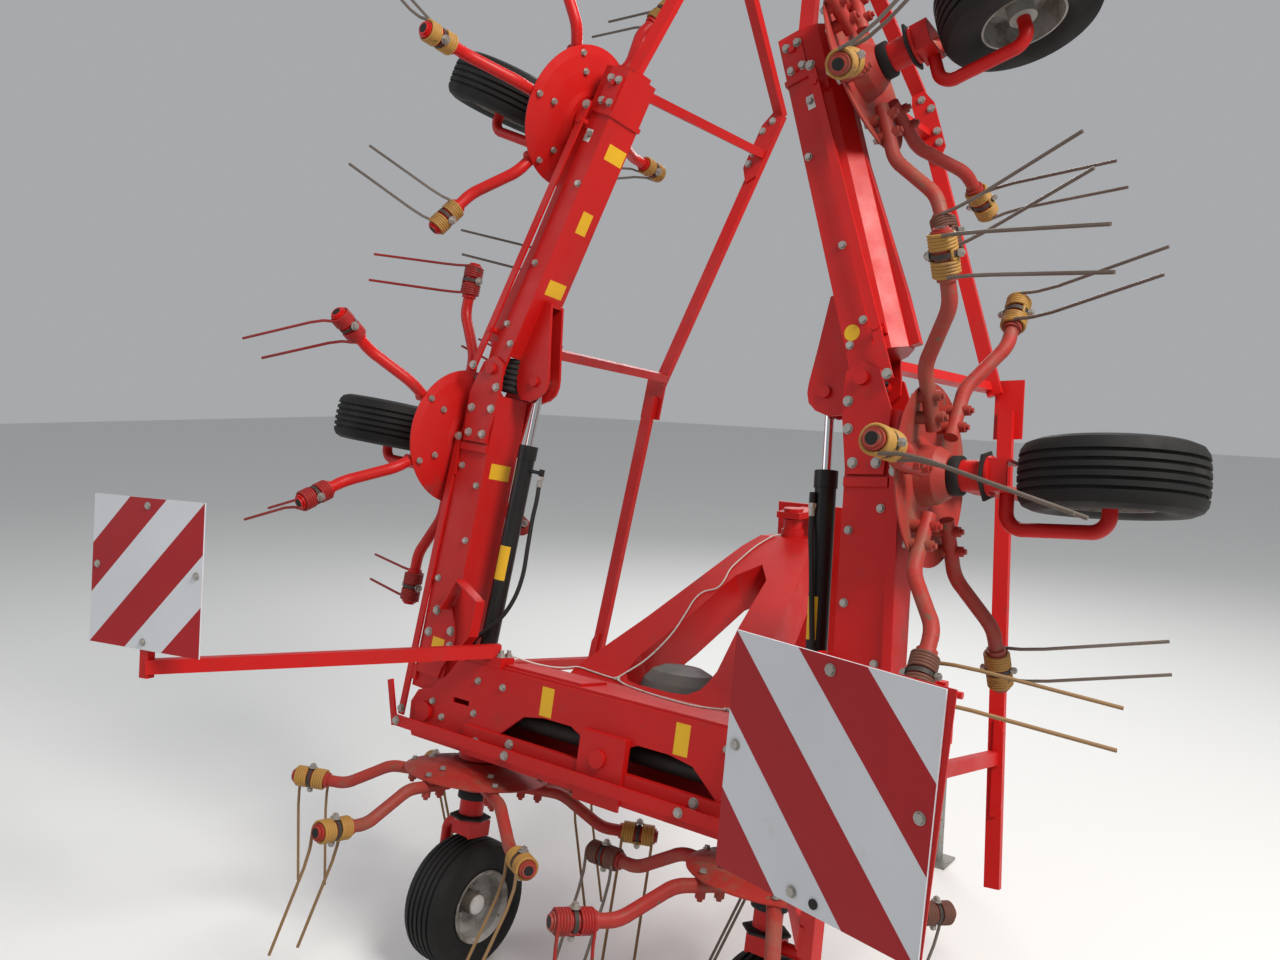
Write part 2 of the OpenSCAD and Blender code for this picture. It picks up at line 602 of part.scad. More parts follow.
module inner_guard(s) color("red") place(s, 1) translate([hinge_x, 0, hinge_z]) {
  channel([-268, guard_y, -92], [1200, guard_y, -62]);
  plate_xz([[-20, -112], [200, -108], [236, -92], [236, -78], [-56, -78], [-56, -94]], guard_y - 20, 9);
  bar([120, arm_y1 + 5, -50], [120, guard_y, -82], 40, 30);
  translate([84, arm_y1 + seat, -80]) cube([76, 8, 60]);
  // plate that bridges the joint to the outer guard
  translate([1110, guard_y + 8, -84]) cube([80, 8, 44]);
  translate([1110, guard_y + 15, -110]) cube([190, 8, 90]);
}

module outer_guard(s) color("red") place(s, 2) translate([out_x, 0, hinge_z]) {
  channel([118, guard_y - 8, -64], [1228, guard_y - 8, -66]);
  plate_xz([[950, -74], [1000, -112], [1170, -112], [1236, -84], [1236, -48], [1190, -36], [990, -40]],
    guard_y - 28, 9);
  bar([1228, guard_y - 8, -66], [1490, 430, -100], 24, guard_h);
  bar([1490, 430, -100], [1500, 120, -90], 24, guard_h);
  bar([1500, 120, -90], [1024, -20, -20], 24, guard_h);
  translate([1010 + seat, -60, -60]) cube([16, 80, 80]);
  bar([985, arm_y1 + 5, -20], [1072, guard_y - 8, -60], 30, 30);
  translate([950, arm_y1 + seat, -50]) cube([60, 8, 60]);
  bar([120, ear_y + 5, 84], [150, guard_y - 8, -50], 30, 30);
  translate([84, ear_y + seat, 50]) cube([72, 8, 66]);
}

// front face of the front ear
ear_y = cyl_y + ear_gap / 2 + ear_t;

module steering_rod(s) color("red") {
  place(s, 1) translate([hinge_x, 0, hinge_z]) {
    bar([-43, arm_y0 - 6, -114], [900, arm_y0 - 6, -96], 8, 24);
    for (a = [80, 760]) translate([a, arm_y0 - 8 - seat, -112]) cube([50, 8, 32]);
  }
}

// second steering rod, along the outer arm on two stand-off pins
rod_pins = [110, 820];
rod_rise = 18 / 916;

module outer_rod(s) color("red") place(s, 2) translate([out_x, 0, hinge_z]) {
  bar([-31, arm_y0 - 26, -70], [885, arm_y0 - 26, -52], 8, 24);
  for (a = rod_pins) ypin(a, -69 + a * rod_rise, arm_y0 - 34, arm_y0 - seat, 9);
}

// ---- fold cylinders, in the frame's level directions

pin_in = [ear_a, ear_c];
turn_all = fold_in + fold_out;
rod_x = hinge_x + wing_step * cos(fold_in) + ear_a * cos(turn_all) - ear_c * sin(turn_all);
rod_z = hinge_z + wing_step * sin(fold_in) + ear_a * sin(turn_all) + ear_c * cos(turn_all);
cyl_len = norm([rod_x - cyl_x, rod_z - cyl_z]);
cyl_ang = atan2(rod_z - cyl_z, rod_x - cyl_x);

module cyl_frame(s) place(s, 0) translate([cyl_x, cyl_y, cyl_z]) rotate([0, 90 - cyl_ang, 0]) children();

// fittings that a hose runs between, upright beside the barrel: sideways, fore-and-aft, from height, to height
head_port = [[-77, 0, 690, 724], [-20, -30, 690, 730]];
foot_port = [36, 0, 36, 70];
port_r = 9;

module port(p) translate([p[0], p[1], p[2]]) cylinder(r = port_r, h = p[3] - p[2]);

module cylinder_barrel(s) color("black") cyl_frame(s) difference() {
  union() {
    ypin(0, 0, -25, 25, 27);
    translate([0, 0, 16]) cylinder(r = barrel_r, h = barrel_len - 16);
    translate([0, 0, barrel_len - 45]) cylinder(r = barrel_r + 3, h = 45);
    port(s < 0 ? head_port[0] : head_port[1]);
    // arm from the left barrel out to its fitting
    if (s < 0) translate([head_port[0][0], 0, 712]) rotate([0, 90, 0]) cylinder(r = 6, h = 54);
    port(foot_port);
  }
  ypin(0, 0, -26, 26, 14.5);
  translate([0, 0, 250]) cylinder(r = rod_r + 0.5, h = barrel_len);
}

module cylinder_rod(s) color("silver") cyl_frame(s) {
  translate([0, 0, cyl_len - 700]) cylinder(r = rod_r, h = 700 - 20);
  ypin(0, cyl_len, -20, 20, 24);
}

// ---- hoses and rope

hose_r = 7;
rope_r = 2.5;
// routes of the hoses along their barrels, chosen by hand
hose_l_route = [[-77, 0, 689.7], [-77, 0, 678], [-77.5, 0, 662], [-82, -3, 620], [-82, -5, 560],
  [-88, -7, 470], [-94, -10, 390], [-90, -20, 318], [-72, -38, 252], [-30, -52, 196], [14, -50, 154],
  [33, -30, 122], [38, -8, 100], [36, 0, 86], [36, 0, 78], [36, 0, 70.3]];
hose_r_route = [[-20, -30, 689.7], [-20, -30, 676], [-19, -32, 652], [-15, -38, 610], [-8, -40, 550],
  [-1, -40, 450], [5, -40, 370], [12, -40, 290], [24, -38, 210], [36, -26, 150], [39, -9, 108], [36, 0, 88],
  [36, 0, 79], [36, 0, 70.3]];
// routes of the ropes on the frame's own level: over the beam, and up the drawbar from the knot
pull_rope_route = [[-458, -66, 787.4], [-436, -50, 787.6], [-408, -20, 779], [-382, 16, 771], [-356, 62, 766],
  [-336, 100, 768], [-306, 118, 775.3], [-240, 114, 772.3], [-190, 111, 770], [-144, 108, 768], [-100, 92, 762.4],
  [-60, 78, 761.4], [-16, 64, 761.2], [28, 50, 761.2], [100, 37, 761.2], [178, 34, 761.2], [226, 56, 761.2],
  [262, 92, 762.4]];
drawbar_rope_route = [[-146, 113, 772], [-132, 140, 792], [-110, 192, 829], [-100, 258, 878], [-100, 323, 928.2],
  [-112, 392, 981.6], [-125, 451, 1025], [-118, 489, 1053.6], [-84, 512, 1071], [-80, 545, 1095.7], [-94, 600, 1137],
  [-93, 636, 1164], [-80, 710, 1219.3], [-64, 752, 1250.8], [-44, 784, 1274.8], [-36, 799, 1279.6], [-31.5, 808.9, 1280.8]];

// smooth run through the route with k steps a stretch
function blend(a, b, c, d, t) = 0.5 * (2 * b + (c - a) * t + (2 * a - 5 * b + 4 * c - d) * t * t
  + (3 * b - a - 3 * c + d) * t * t * t);
function smooth(r, k) = let (n = len(r)) concat(
  [for (i = [0 : n - 2], j = [0 : k - 1]) blend(r[max(i - 1, 0)], r[i], r[i + 1], r[min(i + 2, n - 1)], j / k)],
  [r[n - 1]]);
function unit(v) = v / norm(v);

// round tube swept along a route as one closed surface; up is never along the route
module cord(route, k, r, up, sides = 8) {
  path = smooth(route, k);
  n = len(path);
  points = [for (i = [0 : n - 1]) let (
    t = unit(path[min(i + 1, n - 1)] - path[max(i - 1, 0)]),
    u = unit(cross(t, up)),
    v = cross(t, u))
    for (j = [0 : sides - 1]) path[i] + r * (cos(j * 360 / sides) * u + sin(j * 360 / sides) * v)];
  quads = [for (i = [0 : n - 2], j = [0 : sides - 1])
    [i * sides + j, (i + 1) * sides + j, (i + 1) * sides + (j + 1) % sides, i * sides + (j + 1) % sides]];
  polyhedron(points, concat([[for (j = [0 : sides - 1]) j]], quads, [[for (j = [sides - 1 : -1 : 0]) (n - 1) * sides + j]]));
}

module hose(s, route) color("black") cyl_frame(s) cord(route, 4, hose_r, [0, 1, 0]);

module pull_rope() color("white") place(1, 0) cord(pull_rope_route, 4, rope_r, [0, 0, 1]);

module drawbar_rope() color("white") place(1, 0) cord(drawbar_rope_route, 4, rope_r, [1, 0, 0]);

// ---- draw the parts

main_beam();
drawbar();
driveline();
pto_guard();
centre_hubs();
board_arms();
warning_boards();
steering_bar();
headstock();
parking_stand();
inner_arm(-1);  // inner_arm_l
inner_arm(1);  // inner_arm_r
color("red") place(-1, 1) hub_leg(in_rotor, hinge_z - arm_dn - seat, -1);  // inner_hub_l
color("red") place(1, 1) hub_leg(in_rotor, hinge_z - arm_dn - seat, -1);  // inner_hub_r
inner_guard(-1);  // inner_guard_l
inner_guard(1);  // inner_guard_r
steering_rod(-1);  // steering_rod_l
steering_rod(1);  // steering_rod_r
outer_rod(-1);  // outer_rod_l
outer_rod(1);  // outer_rod_r
hose(-1, hose_l_route);  // hose_l
hose(1, hose_r_route);  // hose_r
pull_rope();
drawbar_rope();
outer_arm(-1);  // outer_arm_l
outer_arm(1);  // outer_arm_r
color("red") place(-1, 2) hub_leg(out_rotor, hinge_z - 112 - seat, -1);  // outer_hub_l
color("red") place(1, 2) hub_leg(out_rotor, hinge_z - 112 - seat, -1);  // outer_hub_r
outer_guard(-1);  // outer_guard_l
outer_guard(1);  // outer_guard_r
cylinder_barrel(-1);  // cylinder_barrel_l
cylinder_barrel(1);  // cylinder_barrel_r
cylinder_rod(-1);  // cylinder_rod_l
cylinder_rod(1);  // cylinder_rod_r
rotor(-1, 0, c_rotor, 30);  // centre_rotor_l
rotor(1, 0, c_rotor, 0);  // centre_rotor_r
rotor(-1, 1, in_rotor, 0);  // inner_rotor_l
rotor(1, 1, in_rotor, 30);  // inner_rotor_r
rotor(-1, 2, out_rotor, 30);  // outer_rotor_l
rotor(1, 2, out_rotor, 0);  // outer_rotor_r
tines(-1, 0, c_rotor, 30, 1);  // centre_tines_l
tines(1, 0, c_rotor, 0, 1);  // centre_tines_r
tines(-1, 1, in_rotor, 0, -1);  // inner_tines_l
tines(1, 1, in_rotor, 30, -1);  // inner_tines_r
tines(-1, 2, out_rotor, 30, 1);  // outer_tines_l
tines(1, 2, out_rotor, 0, 1);  // outer_tines_r
tyre(-1, 0, c_rotor);  // centre_tyre_l
tyre(1, 0, c_rotor);  // centre_tyre_r
tyre(-1, 1, in_rotor);  // inner_tyre_l
tyre(1, 1, in_rotor);  // inner_tyre_r
tyre(-1, 2, out_rotor);  // outer_tyre_l
tyre(1, 2, out_rotor);  // outer_tyre_r
rim(-1, 0, c_rotor, -1);  // centre_rim_l
rim(1, 0, c_rotor, -1);  // centre_rim_r
rim(-1, 1, in_rotor, 1);  // inner_rim_l
rim(1, 1, in_rotor, 1);  // inner_rim_r
rim(-1, 2, out_rotor, 1);  // outer_rim_l
rim(1, 2, out_rotor, 1);  // outer_rim_r
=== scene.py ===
import json
import math

import bpy
import numpy as np
from mathutils import Matrix, Vector


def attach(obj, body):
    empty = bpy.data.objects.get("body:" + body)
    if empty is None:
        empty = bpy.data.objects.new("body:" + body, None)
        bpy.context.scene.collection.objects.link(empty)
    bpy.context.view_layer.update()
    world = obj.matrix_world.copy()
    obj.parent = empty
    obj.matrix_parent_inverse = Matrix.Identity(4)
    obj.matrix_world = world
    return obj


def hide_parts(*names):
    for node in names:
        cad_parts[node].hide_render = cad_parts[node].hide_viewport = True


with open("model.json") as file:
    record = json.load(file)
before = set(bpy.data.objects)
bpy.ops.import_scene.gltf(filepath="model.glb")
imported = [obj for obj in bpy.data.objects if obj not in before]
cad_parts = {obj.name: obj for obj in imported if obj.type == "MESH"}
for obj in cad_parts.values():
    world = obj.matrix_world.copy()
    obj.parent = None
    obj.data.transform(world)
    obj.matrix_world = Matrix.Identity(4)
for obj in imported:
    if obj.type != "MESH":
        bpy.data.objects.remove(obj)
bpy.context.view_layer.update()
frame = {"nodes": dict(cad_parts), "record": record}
nodes = frame["nodes"]

# ---- the sizes that the part is built to, in metres and degrees

# the machine stands pitched on its wheels, moved so that the middle of its floor box is the origin
MID_Y, PITCH = 0.437, 10.8
HINGE_X, HINGE_Z = 0.720, 0.562
WING_STEP = 1.117
OUT_X = HINGE_X + WING_STEP
FOLD_IN, FOLD_OUT = 94.0, 16.5
SIDES = {"l": -1, "r": 1}
LEVEL = {"centre": 0, "inner": 1, "outer": 2}
BODY = {0: "frame", 1: "inner_wing_", 2: "outer_wing_"}

# rotors: place, turn of the first arm, and the side that the tines lean to
ROTOR_X = {"centre": 0.535, "inner": 1.605, "outer": 2.675}
ROTOR_Y = -0.030
PHASE = {("centre", "l"): 30, ("centre", "r"): 0, ("inner", "l"): 0, ("inner", "r"): 30,
         ("outer", "l"): 30, ("outer", "r"): 0}
LEAN = {"centre": 1, "inner": -1, "outer": 1}
ARM_COUNT, ARM_LOW_Z = 6, 0.300

# twin springs on an arm's end
COIL_START, COIL_GAP, COIL_TURNS = 0.481, 0.012, 5
WIRE_R, COIL_R = 0.0045, 0.033
WIRE_RING = COIL_R - WIRE_R
COIL_LEN = COIL_TURNS * WIRE_R * 2
COIL2_START = COIL_START + COIL_LEN + COIL_GAP
TINE_DROP, TINE_LEN, TINE_LEAN = 0.070, 0.322, 19.0

# wheels, and the side that each rim's face looks to
TYRE_R = 0.200
RIM_OUT = {"centre": -1, "inner": 1, "outer": 1}

BOARD_SIDE, BOARD_T, BOARD_X = 0.423, 0.004, 1.035
BOARD_TOE, BOARD_LEAN, BOARD_ROLL = 12.5, 6.0, 2.6
BOARD_YZ = {"l": (-0.931, 0.920), "r": (-0.903, 0.857)}

# fold cylinder: base pin, barrel, and the ear on the outer arm
CYL_X, CYL_Y, CYL_Z = 0.590, -0.013, 0.660
BARREL_R = 0.028
EAR_A, EAR_C = 0.021, 0.131

# faces that carry bolts and labels
ARM_Y0, ARM_UP = -0.098, 0.038
BEAM_Y0 = -0.112
GUARD_Y = 0.835
LABEL_T = 0.0004

HOSE_R, ROPE_R = 0.007, 0.0025

# ---- placing


def shift(x, y, z):
    return Matrix.Translation((x, y, z))


def spin(a):
    return Matrix.Rotation(math.radians(a), 4, "Z")


def tilt(a, axis):
    return Matrix.Rotation(math.radians(a), 4, axis)


# turns a piece that stands on z = 0 so that it stands on a face that looks backwards
BACKWARDS = Matrix.Rotation(math.pi / 2, 4, "X")


def machine():
    return shift(0, -MID_Y, TYRE_R) @ tilt(-PITCH, "X")


def swing(x, a):
    """Folds a wing up by a degrees about the hinge line at x."""
    return shift(x, 0, HINGE_Z) @ tilt(-a, "Y") @ shift(-x, 0, -HINGE_Z)


def place(s, level):
    """Frame of the machine unfolded, carried to side s and to the centre, inner or outer level."""
    m = machine()
    if s < 0:
        m = m @ Matrix.Diagonal((-1, 1, 1, 1))
    if level >= 1:
        m = m @ swing(HINGE_X, FOLD_IN)
    if level == 2:
        m = m @ swing(OUT_X, FOLD_OUT)
    return m


def wing(s, level):
    """Frame of a wing's arm: x along it from its hinge, y forward, z above the hinge line."""
    return place(s, level) @ shift(HINGE_X if level == 1 else OUT_X, 0, HINGE_Z)


def cylinder_frame(s):
    """Frame of a fold cylinder: z runs along it from its base pin."""
    a, b = math.radians(FOLD_IN), math.radians(FOLD_IN + FOLD_OUT)
    x = HINGE_X + (OUT_X - HINGE_X) * math.cos(a) + EAR_A * math.cos(b) - EAR_C * math.sin(b)
    z = HINGE_Z + (OUT_X - HINGE_X) * math.sin(a) + EAR_A * math.sin(b) + EAR_C * math.cos(b)
    ang = math.degrees(math.atan2(z - CYL_Z, x - CYL_X))
    return place(s, 0) @ shift(CYL_X, CYL_Y, CYL_Z) @ tilt(90 - ang, "Y")


def board_frame(q):
    """Frame of a warning board: x across it, z up it, -y out of its striped face."""
    y, z = BOARD_YZ[q]
    return (place(SIDES[q], 0) @ shift(BOARD_X, y, z) @ spin(-BOARD_TOE)
            @ tilt(BOARD_LEAN, "X") @ tilt(BOARD_ROLL, "Y"))


# ---- meshes


def transformed(verts, m):
    v = np.asarray(verts, float).reshape(-1, 3)
    a = np.array(m)
    return v @ a[:3, :3].T + a[:3, 3]


class Build:
    """Gathers verts and faces, then makes one object."""

    def __init__(self):
        self.verts, self.faces, self.mats, self.n = [], [], [], 0

    def add(self, verts, faces, m=None, mat=0):
        """mat is a material's index for all the faces, or a list with one for each."""
        m = m or Matrix.Identity(4)
        flip = m.determinant() < 0
        mats = [mat] * len(faces) if isinstance(mat, int) else mat
        for face, k in zip(faces, mats):
            face = [i + self.n for i in face]
            self.faces.append(face[::-1] if flip else face)
            self.mats.append(k)
        v = transformed(verts, m)
        self.verts.append(v)
        self.n += len(v)

    def make(self, name, materials, body, smooth=False, sharp=35):
        mesh = bpy.data.meshes.new(name)
        mesh.from_pydata(np.concatenate(self.verts).tolist(), [], self.faces)
        for mat in materials:
            mesh.materials.append(mat)
        mesh.polygons.foreach_set("material_index", self.mats)
        if smooth:
            mesh.polygons.foreach_set("use_smooth", [True] * len(mesh.polygons))
            mesh.set_sharp_from_angle(angle=math.radians(sharp))
        mesh.update()
        ob = bpy.data.objects.new(name, mesh)
        bpy.context.scene.collection.objects.link(ob)
        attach(ob, body)
        return ob


def sweep(points, radius, sides=8):
    """Round tube along points, with its ends closed."""
    p = np.asarray(points, float)
    n = len(p)
    t = np.gradient(p, axis=0)
    t /= np.linalg.norm(t, axis=1)[:, None]
    ref = np.array([0.0, 0, 1]) if abs(t[0][2]) < 0.9 else np.array([1.0, 0, 0])
    u = np.cross(t[0], ref)
    u /= np.linalg.norm(u)
    verts = []
    ang = np.arange(sides) * 2 * math.pi / sides
    for i in range(n):
        u = u - t[i] * (u @ t[i])
        u /= np.linalg.norm(u)
        w = np.cross(t[i], u)
        verts.append(p[i] + radius * (np.cos(ang)[:, None] * u + np.sin(ang)[:, None] * w))
    faces = []
    for i in range(n - 1):
        for k in range(sides):
            a, b = i * sides + k, i * sides + (k + 1) % sides
            faces.append([a, b, b + sides, a + sides])
    faces.append(list(range(sides))[::-1])
    faces.append([(n - 1) * sides + k for k in range(sides)])
    return np.concatenate(verts), faces


def lathe(profile, segments=48, closed=False):
    """Turns (radius, height) points about Z; a closed profile is a ring's section."""
    prof = np.asarray(profile, float)
    n = len(prof)
    verts, faces = [], []
    for k in range(segments):
        a = 2 * math.pi * k / segments
        verts += [(r * math.cos(a), r * math.sin(a), z) for r, z in prof]
    for k in range(segments):
        for i in range(n if closed else n - 1):
            j = (i + 1) % n
            a, b = k * n + i, k * n + j
            c, d = ((k + 1) % segments) * n + j, ((k + 1) % segments) * n + i
            faces.append([a, d, c, b])
    if not closed:
        if prof[0][0] > 1e-6:
            faces.append([k * n for k in range(segments)])
        if prof[-1][0] > 1e-6:
            faces.append([k * n + n - 1 for k in range(segments)][::-1])
    return verts, faces


def prism(sides, r, z0, z1):
    """Upright prism on Z, between two heights."""
    verts = [(r * math.cos(2 * math.pi * k / sides), r * math.sin(2 * math.pi * k / sides), z)
             for z in (z0, z1) for k in range(sides)]
    faces = [list(range(sides))[::-1], list(range(sides, 2 * sides))]
    for k in range(sides):
        j = (k + 1) % sides
        faces.append([k, j, j + sides, k + sides])
    return verts, faces


def box(lo, hi):
    x0, y0, z0 = lo
    x1, y1, z1 = hi
    v = [(x0, y0, z0), (x1, y0, z0), (x1, y1, z0), (x0, y1, z0),
         (x0, y0, z1), (x1, y0, z1), (x1, y1, z1), (x0, y1, z1)]
    f = [[3, 2, 1, 0], [4, 5, 6, 7], [0, 1, 5, 4], [1, 2, 6, 5], [2, 3, 7, 6], [3, 0, 4, 7]]
    return v, f


WASHER_T = 0.0015


def bolt(build, m, r, h, shank=0.0):
    """Hexagon head on a washer, standing on z = 0."""
    build.add(*prism(20, r * 1.25, 0, WASHER_T), m)
    build.add(*prism(6, r, WASHER_T, h + WASHER_T), m)
    if shank:
        build.add(*prism(12, r * 0.55, h, h + shank), m)


def bolts_on_back(build, m, spots, y, r=0.0088, h=0.007):
    """Bolts on a face that looks backwards, by (along, above)."""
    for a, c in spots:
        bolt(build, m @ shift(a, y, c) @ BACKWARDS, r=r, h=h)


# ---- materials

# how fine the patches of fading, dirt, gloss and chips are
FADE_SCALE, DIRT_SCALE, GLOSS_SCALE, CHIP_SCALE = 2.3, 7.0, 11, 38
PAINT_SPECULAR, METAL_SPECULAR = 0.28, 0.5


def new_material(name):
    mat = bpy.data.materials.new(name)
    mat.use_nodes = True
    t = mat.node_tree
    t.nodes.clear()
    out = t.nodes.new("ShaderNodeOutputMaterial")
    bsdf = t.nodes.new("ShaderNodeBsdfPrincipled")
    t.links.new(bsdf.outputs[0], out.inputs[0])
    return mat, t, bsdf


def noise(t, coord, scale, detail=3.0, rough=0.55):
    n = t.nodes.new("ShaderNodeTexNoise")
    n.inputs["Scale"].default_value = scale
    n.inputs["Detail"].default_value = detail
    n.inputs["Roughness"].default_value = rough
    t.links.new(coord, n.inputs["Vector"])
    return n.outputs["Fac"]


def ramp(t, fac, low, high):
    """Colour ramp between two stops, each a place and a grey."""
    r = t.nodes.new("ShaderNodeValToRGB")
    for element, (pos, v) in zip(r.color_ramp.elements, (low, high)):
        element.position, element.color = pos, (v, v, v, 1)
    t.links.new(fac, r.inputs["Fac"])
    return r.outputs["Color"]


def mix(t, fac, a, b):
    """a and b are colours or sockets."""
    n = t.nodes.new("ShaderNodeMix")
    n.data_type = "RGBA"
    t.links.new(fac, n.inputs[0])
    for sock, val in ((n.inputs[6], a), (n.inputs[7], b)):
        if isinstance(val, tuple):
            sock.default_value = (*val, 1)
        else:
            t.links.new(val, sock)
    return n.outputs[2]


def worn(name, base, faded, under, chip=0.72, rough=(0.35, 0.6), metal=0.0, scale=1.0,
         dirt=(0.16, 0.12, 0.08), dirt_level=0.62, bump=0.0):
    """Paint or metal that fades in patches, shows what is under it in chips and gathers dust; on
    the rims the dark dust is also painted shade.
    """
    mat, t, bsdf = new_material(name)
    co = t.nodes.new("ShaderNodeTexCoord").outputs["Object"]
    wide = noise(t, co, FADE_SCALE * scale, 4)
    fine = noise(t, co, CHIP_SCALE * scale, 5, 0.65)
    dust = noise(t, co, DIRT_SCALE * scale, 5, 0.7)
    gloss = noise(t, co, GLOSS_SCALE * scale, 3)
    c = mix(t, ramp(t, wide, (0.35, 0), (0.7, 1)), base, faded)
    c = mix(t, ramp(t, dust, (dirt_level, 0), (dirt_level + 0.16, 0.75)), c, dirt)
    c = mix(t, ramp(t, fine, (chip - 0.02, 0), (chip, 1)), c, under)
    t.links.new(c, bsdf.inputs["Base Color"])
    t.links.new(ramp(t, gloss, (0.3, rough[0]), (0.75, rough[1])), bsdf.inputs["Roughness"])
    bsdf.inputs["Metallic"].default_value = metal
    bsdf.inputs["Specular IOR Level"].default_value = METAL_SPECULAR if metal else PAINT_SPECULAR
    if bump:
        b = t.nodes.new("ShaderNodeBump")
        b.inputs["Strength"].default_value = bump
        b.inputs["Distance"].default_value = 0.002
        t.links.new(fine, b.inputs["Height"])
        t.links.new(b.outputs[0], bsdf.inputs["Normal"])
    return mat


RED = worn("red_paint", (0.50, 0.006, 0.005), (0.42, 0.010, 0.008), (0.07, 0.02, 0.014),
           chip=0.735, rough=(0.34, 0.55), dirt=(0.20, 0.035, 0.028), dirt_level=0.60)
DULL_RED = worn("dull_red_paint", (0.30, 0.010, 0.009), (0.22, 0.018, 0.015), (0.10, 0.05, 0.035),
                chip=0.68, rough=(0.45, 0.7), dirt=(0.15, 0.05, 0.035), dirt_level=0.55)
OLD_RED = worn("weathered_red_paint", (0.36, 0.018, 0.014), (0.25, 0.045, 0.032),
               (0.14, 0.08, 0.05), chip=0.66, rough=(0.45, 0.7), dirt=(0.20, 0.085, 0.055),
               dirt_level=0.50)
OCHRE = worn("ochre_spring_paint", (0.40, 0.215, 0.045), (0.29, 0.15, 0.04), (0.12, 0.06, 0.03),
             chip=0.66, rough=(0.4, 0.65), dirt=(0.17, 0.09, 0.04), dirt_level=0.58)
RUSTY = worn("rusty_spring_steel", (0.10, 0.042, 0.028), (0.15, 0.06, 0.038),
             (0.06, 0.035, 0.028), chip=0.66, rough=(0.5, 0.75), dirt=(0.19, 0.085, 0.045),
             dirt_level=0.58)
TINE_STEEL = worn("worn_tine_steel", (0.115, 0.082, 0.062), (0.17, 0.14, 0.12),
                  (0.07, 0.045, 0.035), chip=0.74, rough=(0.35, 0.55), metal=0.4, dirt_level=0.66)
TINE_OCHRE = worn("worn_tine_ochre", (0.25, 0.145, 0.06), (0.19, 0.115, 0.06), (0.10, 0.06, 0.035),
                  chip=0.74, rough=(0.4, 0.6), dirt_level=0.66)
GALV = worn("galvanised_bolts", (0.42, 0.40, 0.37), (0.30, 0.28, 0.25), (0.20, 0.12, 0.07),
            chip=0.66, rough=(0.35, 0.6), metal=0.7, scale=2.5)
IRON = worn("dark_cast_iron", (0.032, 0.028, 0.025), (0.05, 0.042, 0.036), (0.12, 0.07, 0.04),
            chip=0.68, rough=(0.5, 0.8))
GREY = worn("grey_guard_plastic", (0.085, 0.085, 0.082), (0.13, 0.125, 0.118), (0.20, 0.18, 0.16),
            chip=0.76, rough=(0.5, 0.75), dirt=(0.17, 0.14, 0.105), dirt_level=0.52)
WHITE = worn("white_board_sheet", (0.60, 0.61, 0.64), (0.54, 0.55, 0.58), (0.44, 0.42, 0.40),
             chip=0.86, rough=(0.4, 0.55), dirt=(0.46, 0.45, 0.44), dirt_level=0.66)
STRIPE = worn("red_reflective_stripe", (0.36, 0.006, 0.010), (0.31, 0.008, 0.012),
              (0.24, 0.03, 0.03), chip=0.86, rough=(0.35, 0.5), dirt=(0.26, 0.02, 0.02),
              dirt_level=0.66)
# rims: the heavy dark dirt is partly real dirt and rust, partly painted shade that darkens the rims
# all over
RIM_WITH_PAINTED_SHADE = worn("pale_rim_paint_with_painted_shade", (0.36, 0.355, 0.335), (0.24, 0.23, 0.205), (0.13, 0.08, 0.05),
           chip=0.64, rough=(0.45, 0.65), dirt=(0.09, 0.07, 0.05), dirt_level=0.46)
BLACK = worn("black_cylinder_paint", (0.008, 0.008, 0.008), (0.015, 0.014, 0.014),
             (0.07, 0.05, 0.035), chip=0.76, rough=(0.32, 0.5), dirt=(0.06, 0.05, 0.04),
             dirt_level=0.66)
SEAL = worn("black_rubber_seal", (0.009, 0.009, 0.009), (0.018, 0.016, 0.015), (0.04, 0.03, 0.025),
            chip=0.74, rough=(0.6, 0.8), dirt=(0.06, 0.05, 0.04), dirt_level=0.66)
HOSE = worn("black_hose_rubber", (0.010, 0.010, 0.010), (0.018, 0.017, 0.016), (0.04, 0.035, 0.03),
            chip=0.76, rough=(0.5, 0.7), dirt=(0.06, 0.05, 0.04), dirt_level=0.66)
ROPE = worn("white_rope_fibre", (0.62, 0.61, 0.57), (0.50, 0.48, 0.43), (0.34, 0.31, 0.26),
            chip=0.60, rough=(0.8, 0.95), scale=4.0, bump=0.3)
CHROME = worn("bright_rod", (0.72, 0.72, 0.72), (0.62, 0.62, 0.62), (0.4, 0.36, 0.3),
              chip=0.8, rough=(0.12, 0.22), metal=1.0)
STEEL = worn("plain_stand_steel", (0.28, 0.27, 0.25), (0.20, 0.19, 0.17), (0.16, 0.09, 0.05),
             chip=0.62, rough=(0.45, 0.65), metal=0.5)
YELLOW = worn("yellow_label", (0.72, 0.42, 0.012), (0.64, 0.36, 0.02), (0.3, 0.2, 0.05),
              chip=0.82, rough=(0.35, 0.5))
LABEL = worn("white_label", (0.58, 0.58, 0.56), (0.48, 0.48, 0.46), (0.3, 0.28, 0.25),
             chip=0.80, rough=(0.35, 0.5))
TYRE = worn("tyre_rubber", (0.007, 0.007, 0.007), (0.013, 0.0125, 0.012), (0.035, 0.03, 0.025),
            chip=0.74, rough=(0.6, 0.85), dirt=(0.045, 0.04, 0.032), dirt_level=0.62, bump=0.15)

FINISH = {"bare_steel": STEEL, "gearbox_iron": IRON, "grey_plastic": GREY, "board_sheet": WHITE,
          "tine_wire": OCHRE, "tyre_rubber": TYRE, "rim_paint": RIM_WITH_PAINTED_SHADE, "black_paint": BLACK,
          "chrome_rod": CHROME, "hose_rubber": HOSE, "rope_fibre": ROPE}
for entry in frame["record"]["subparts"]:
    data = nodes[entry["node"]].data
    data.materials.clear()
    data.materials.append(FINISH.get(entry["material_slot"], RED))
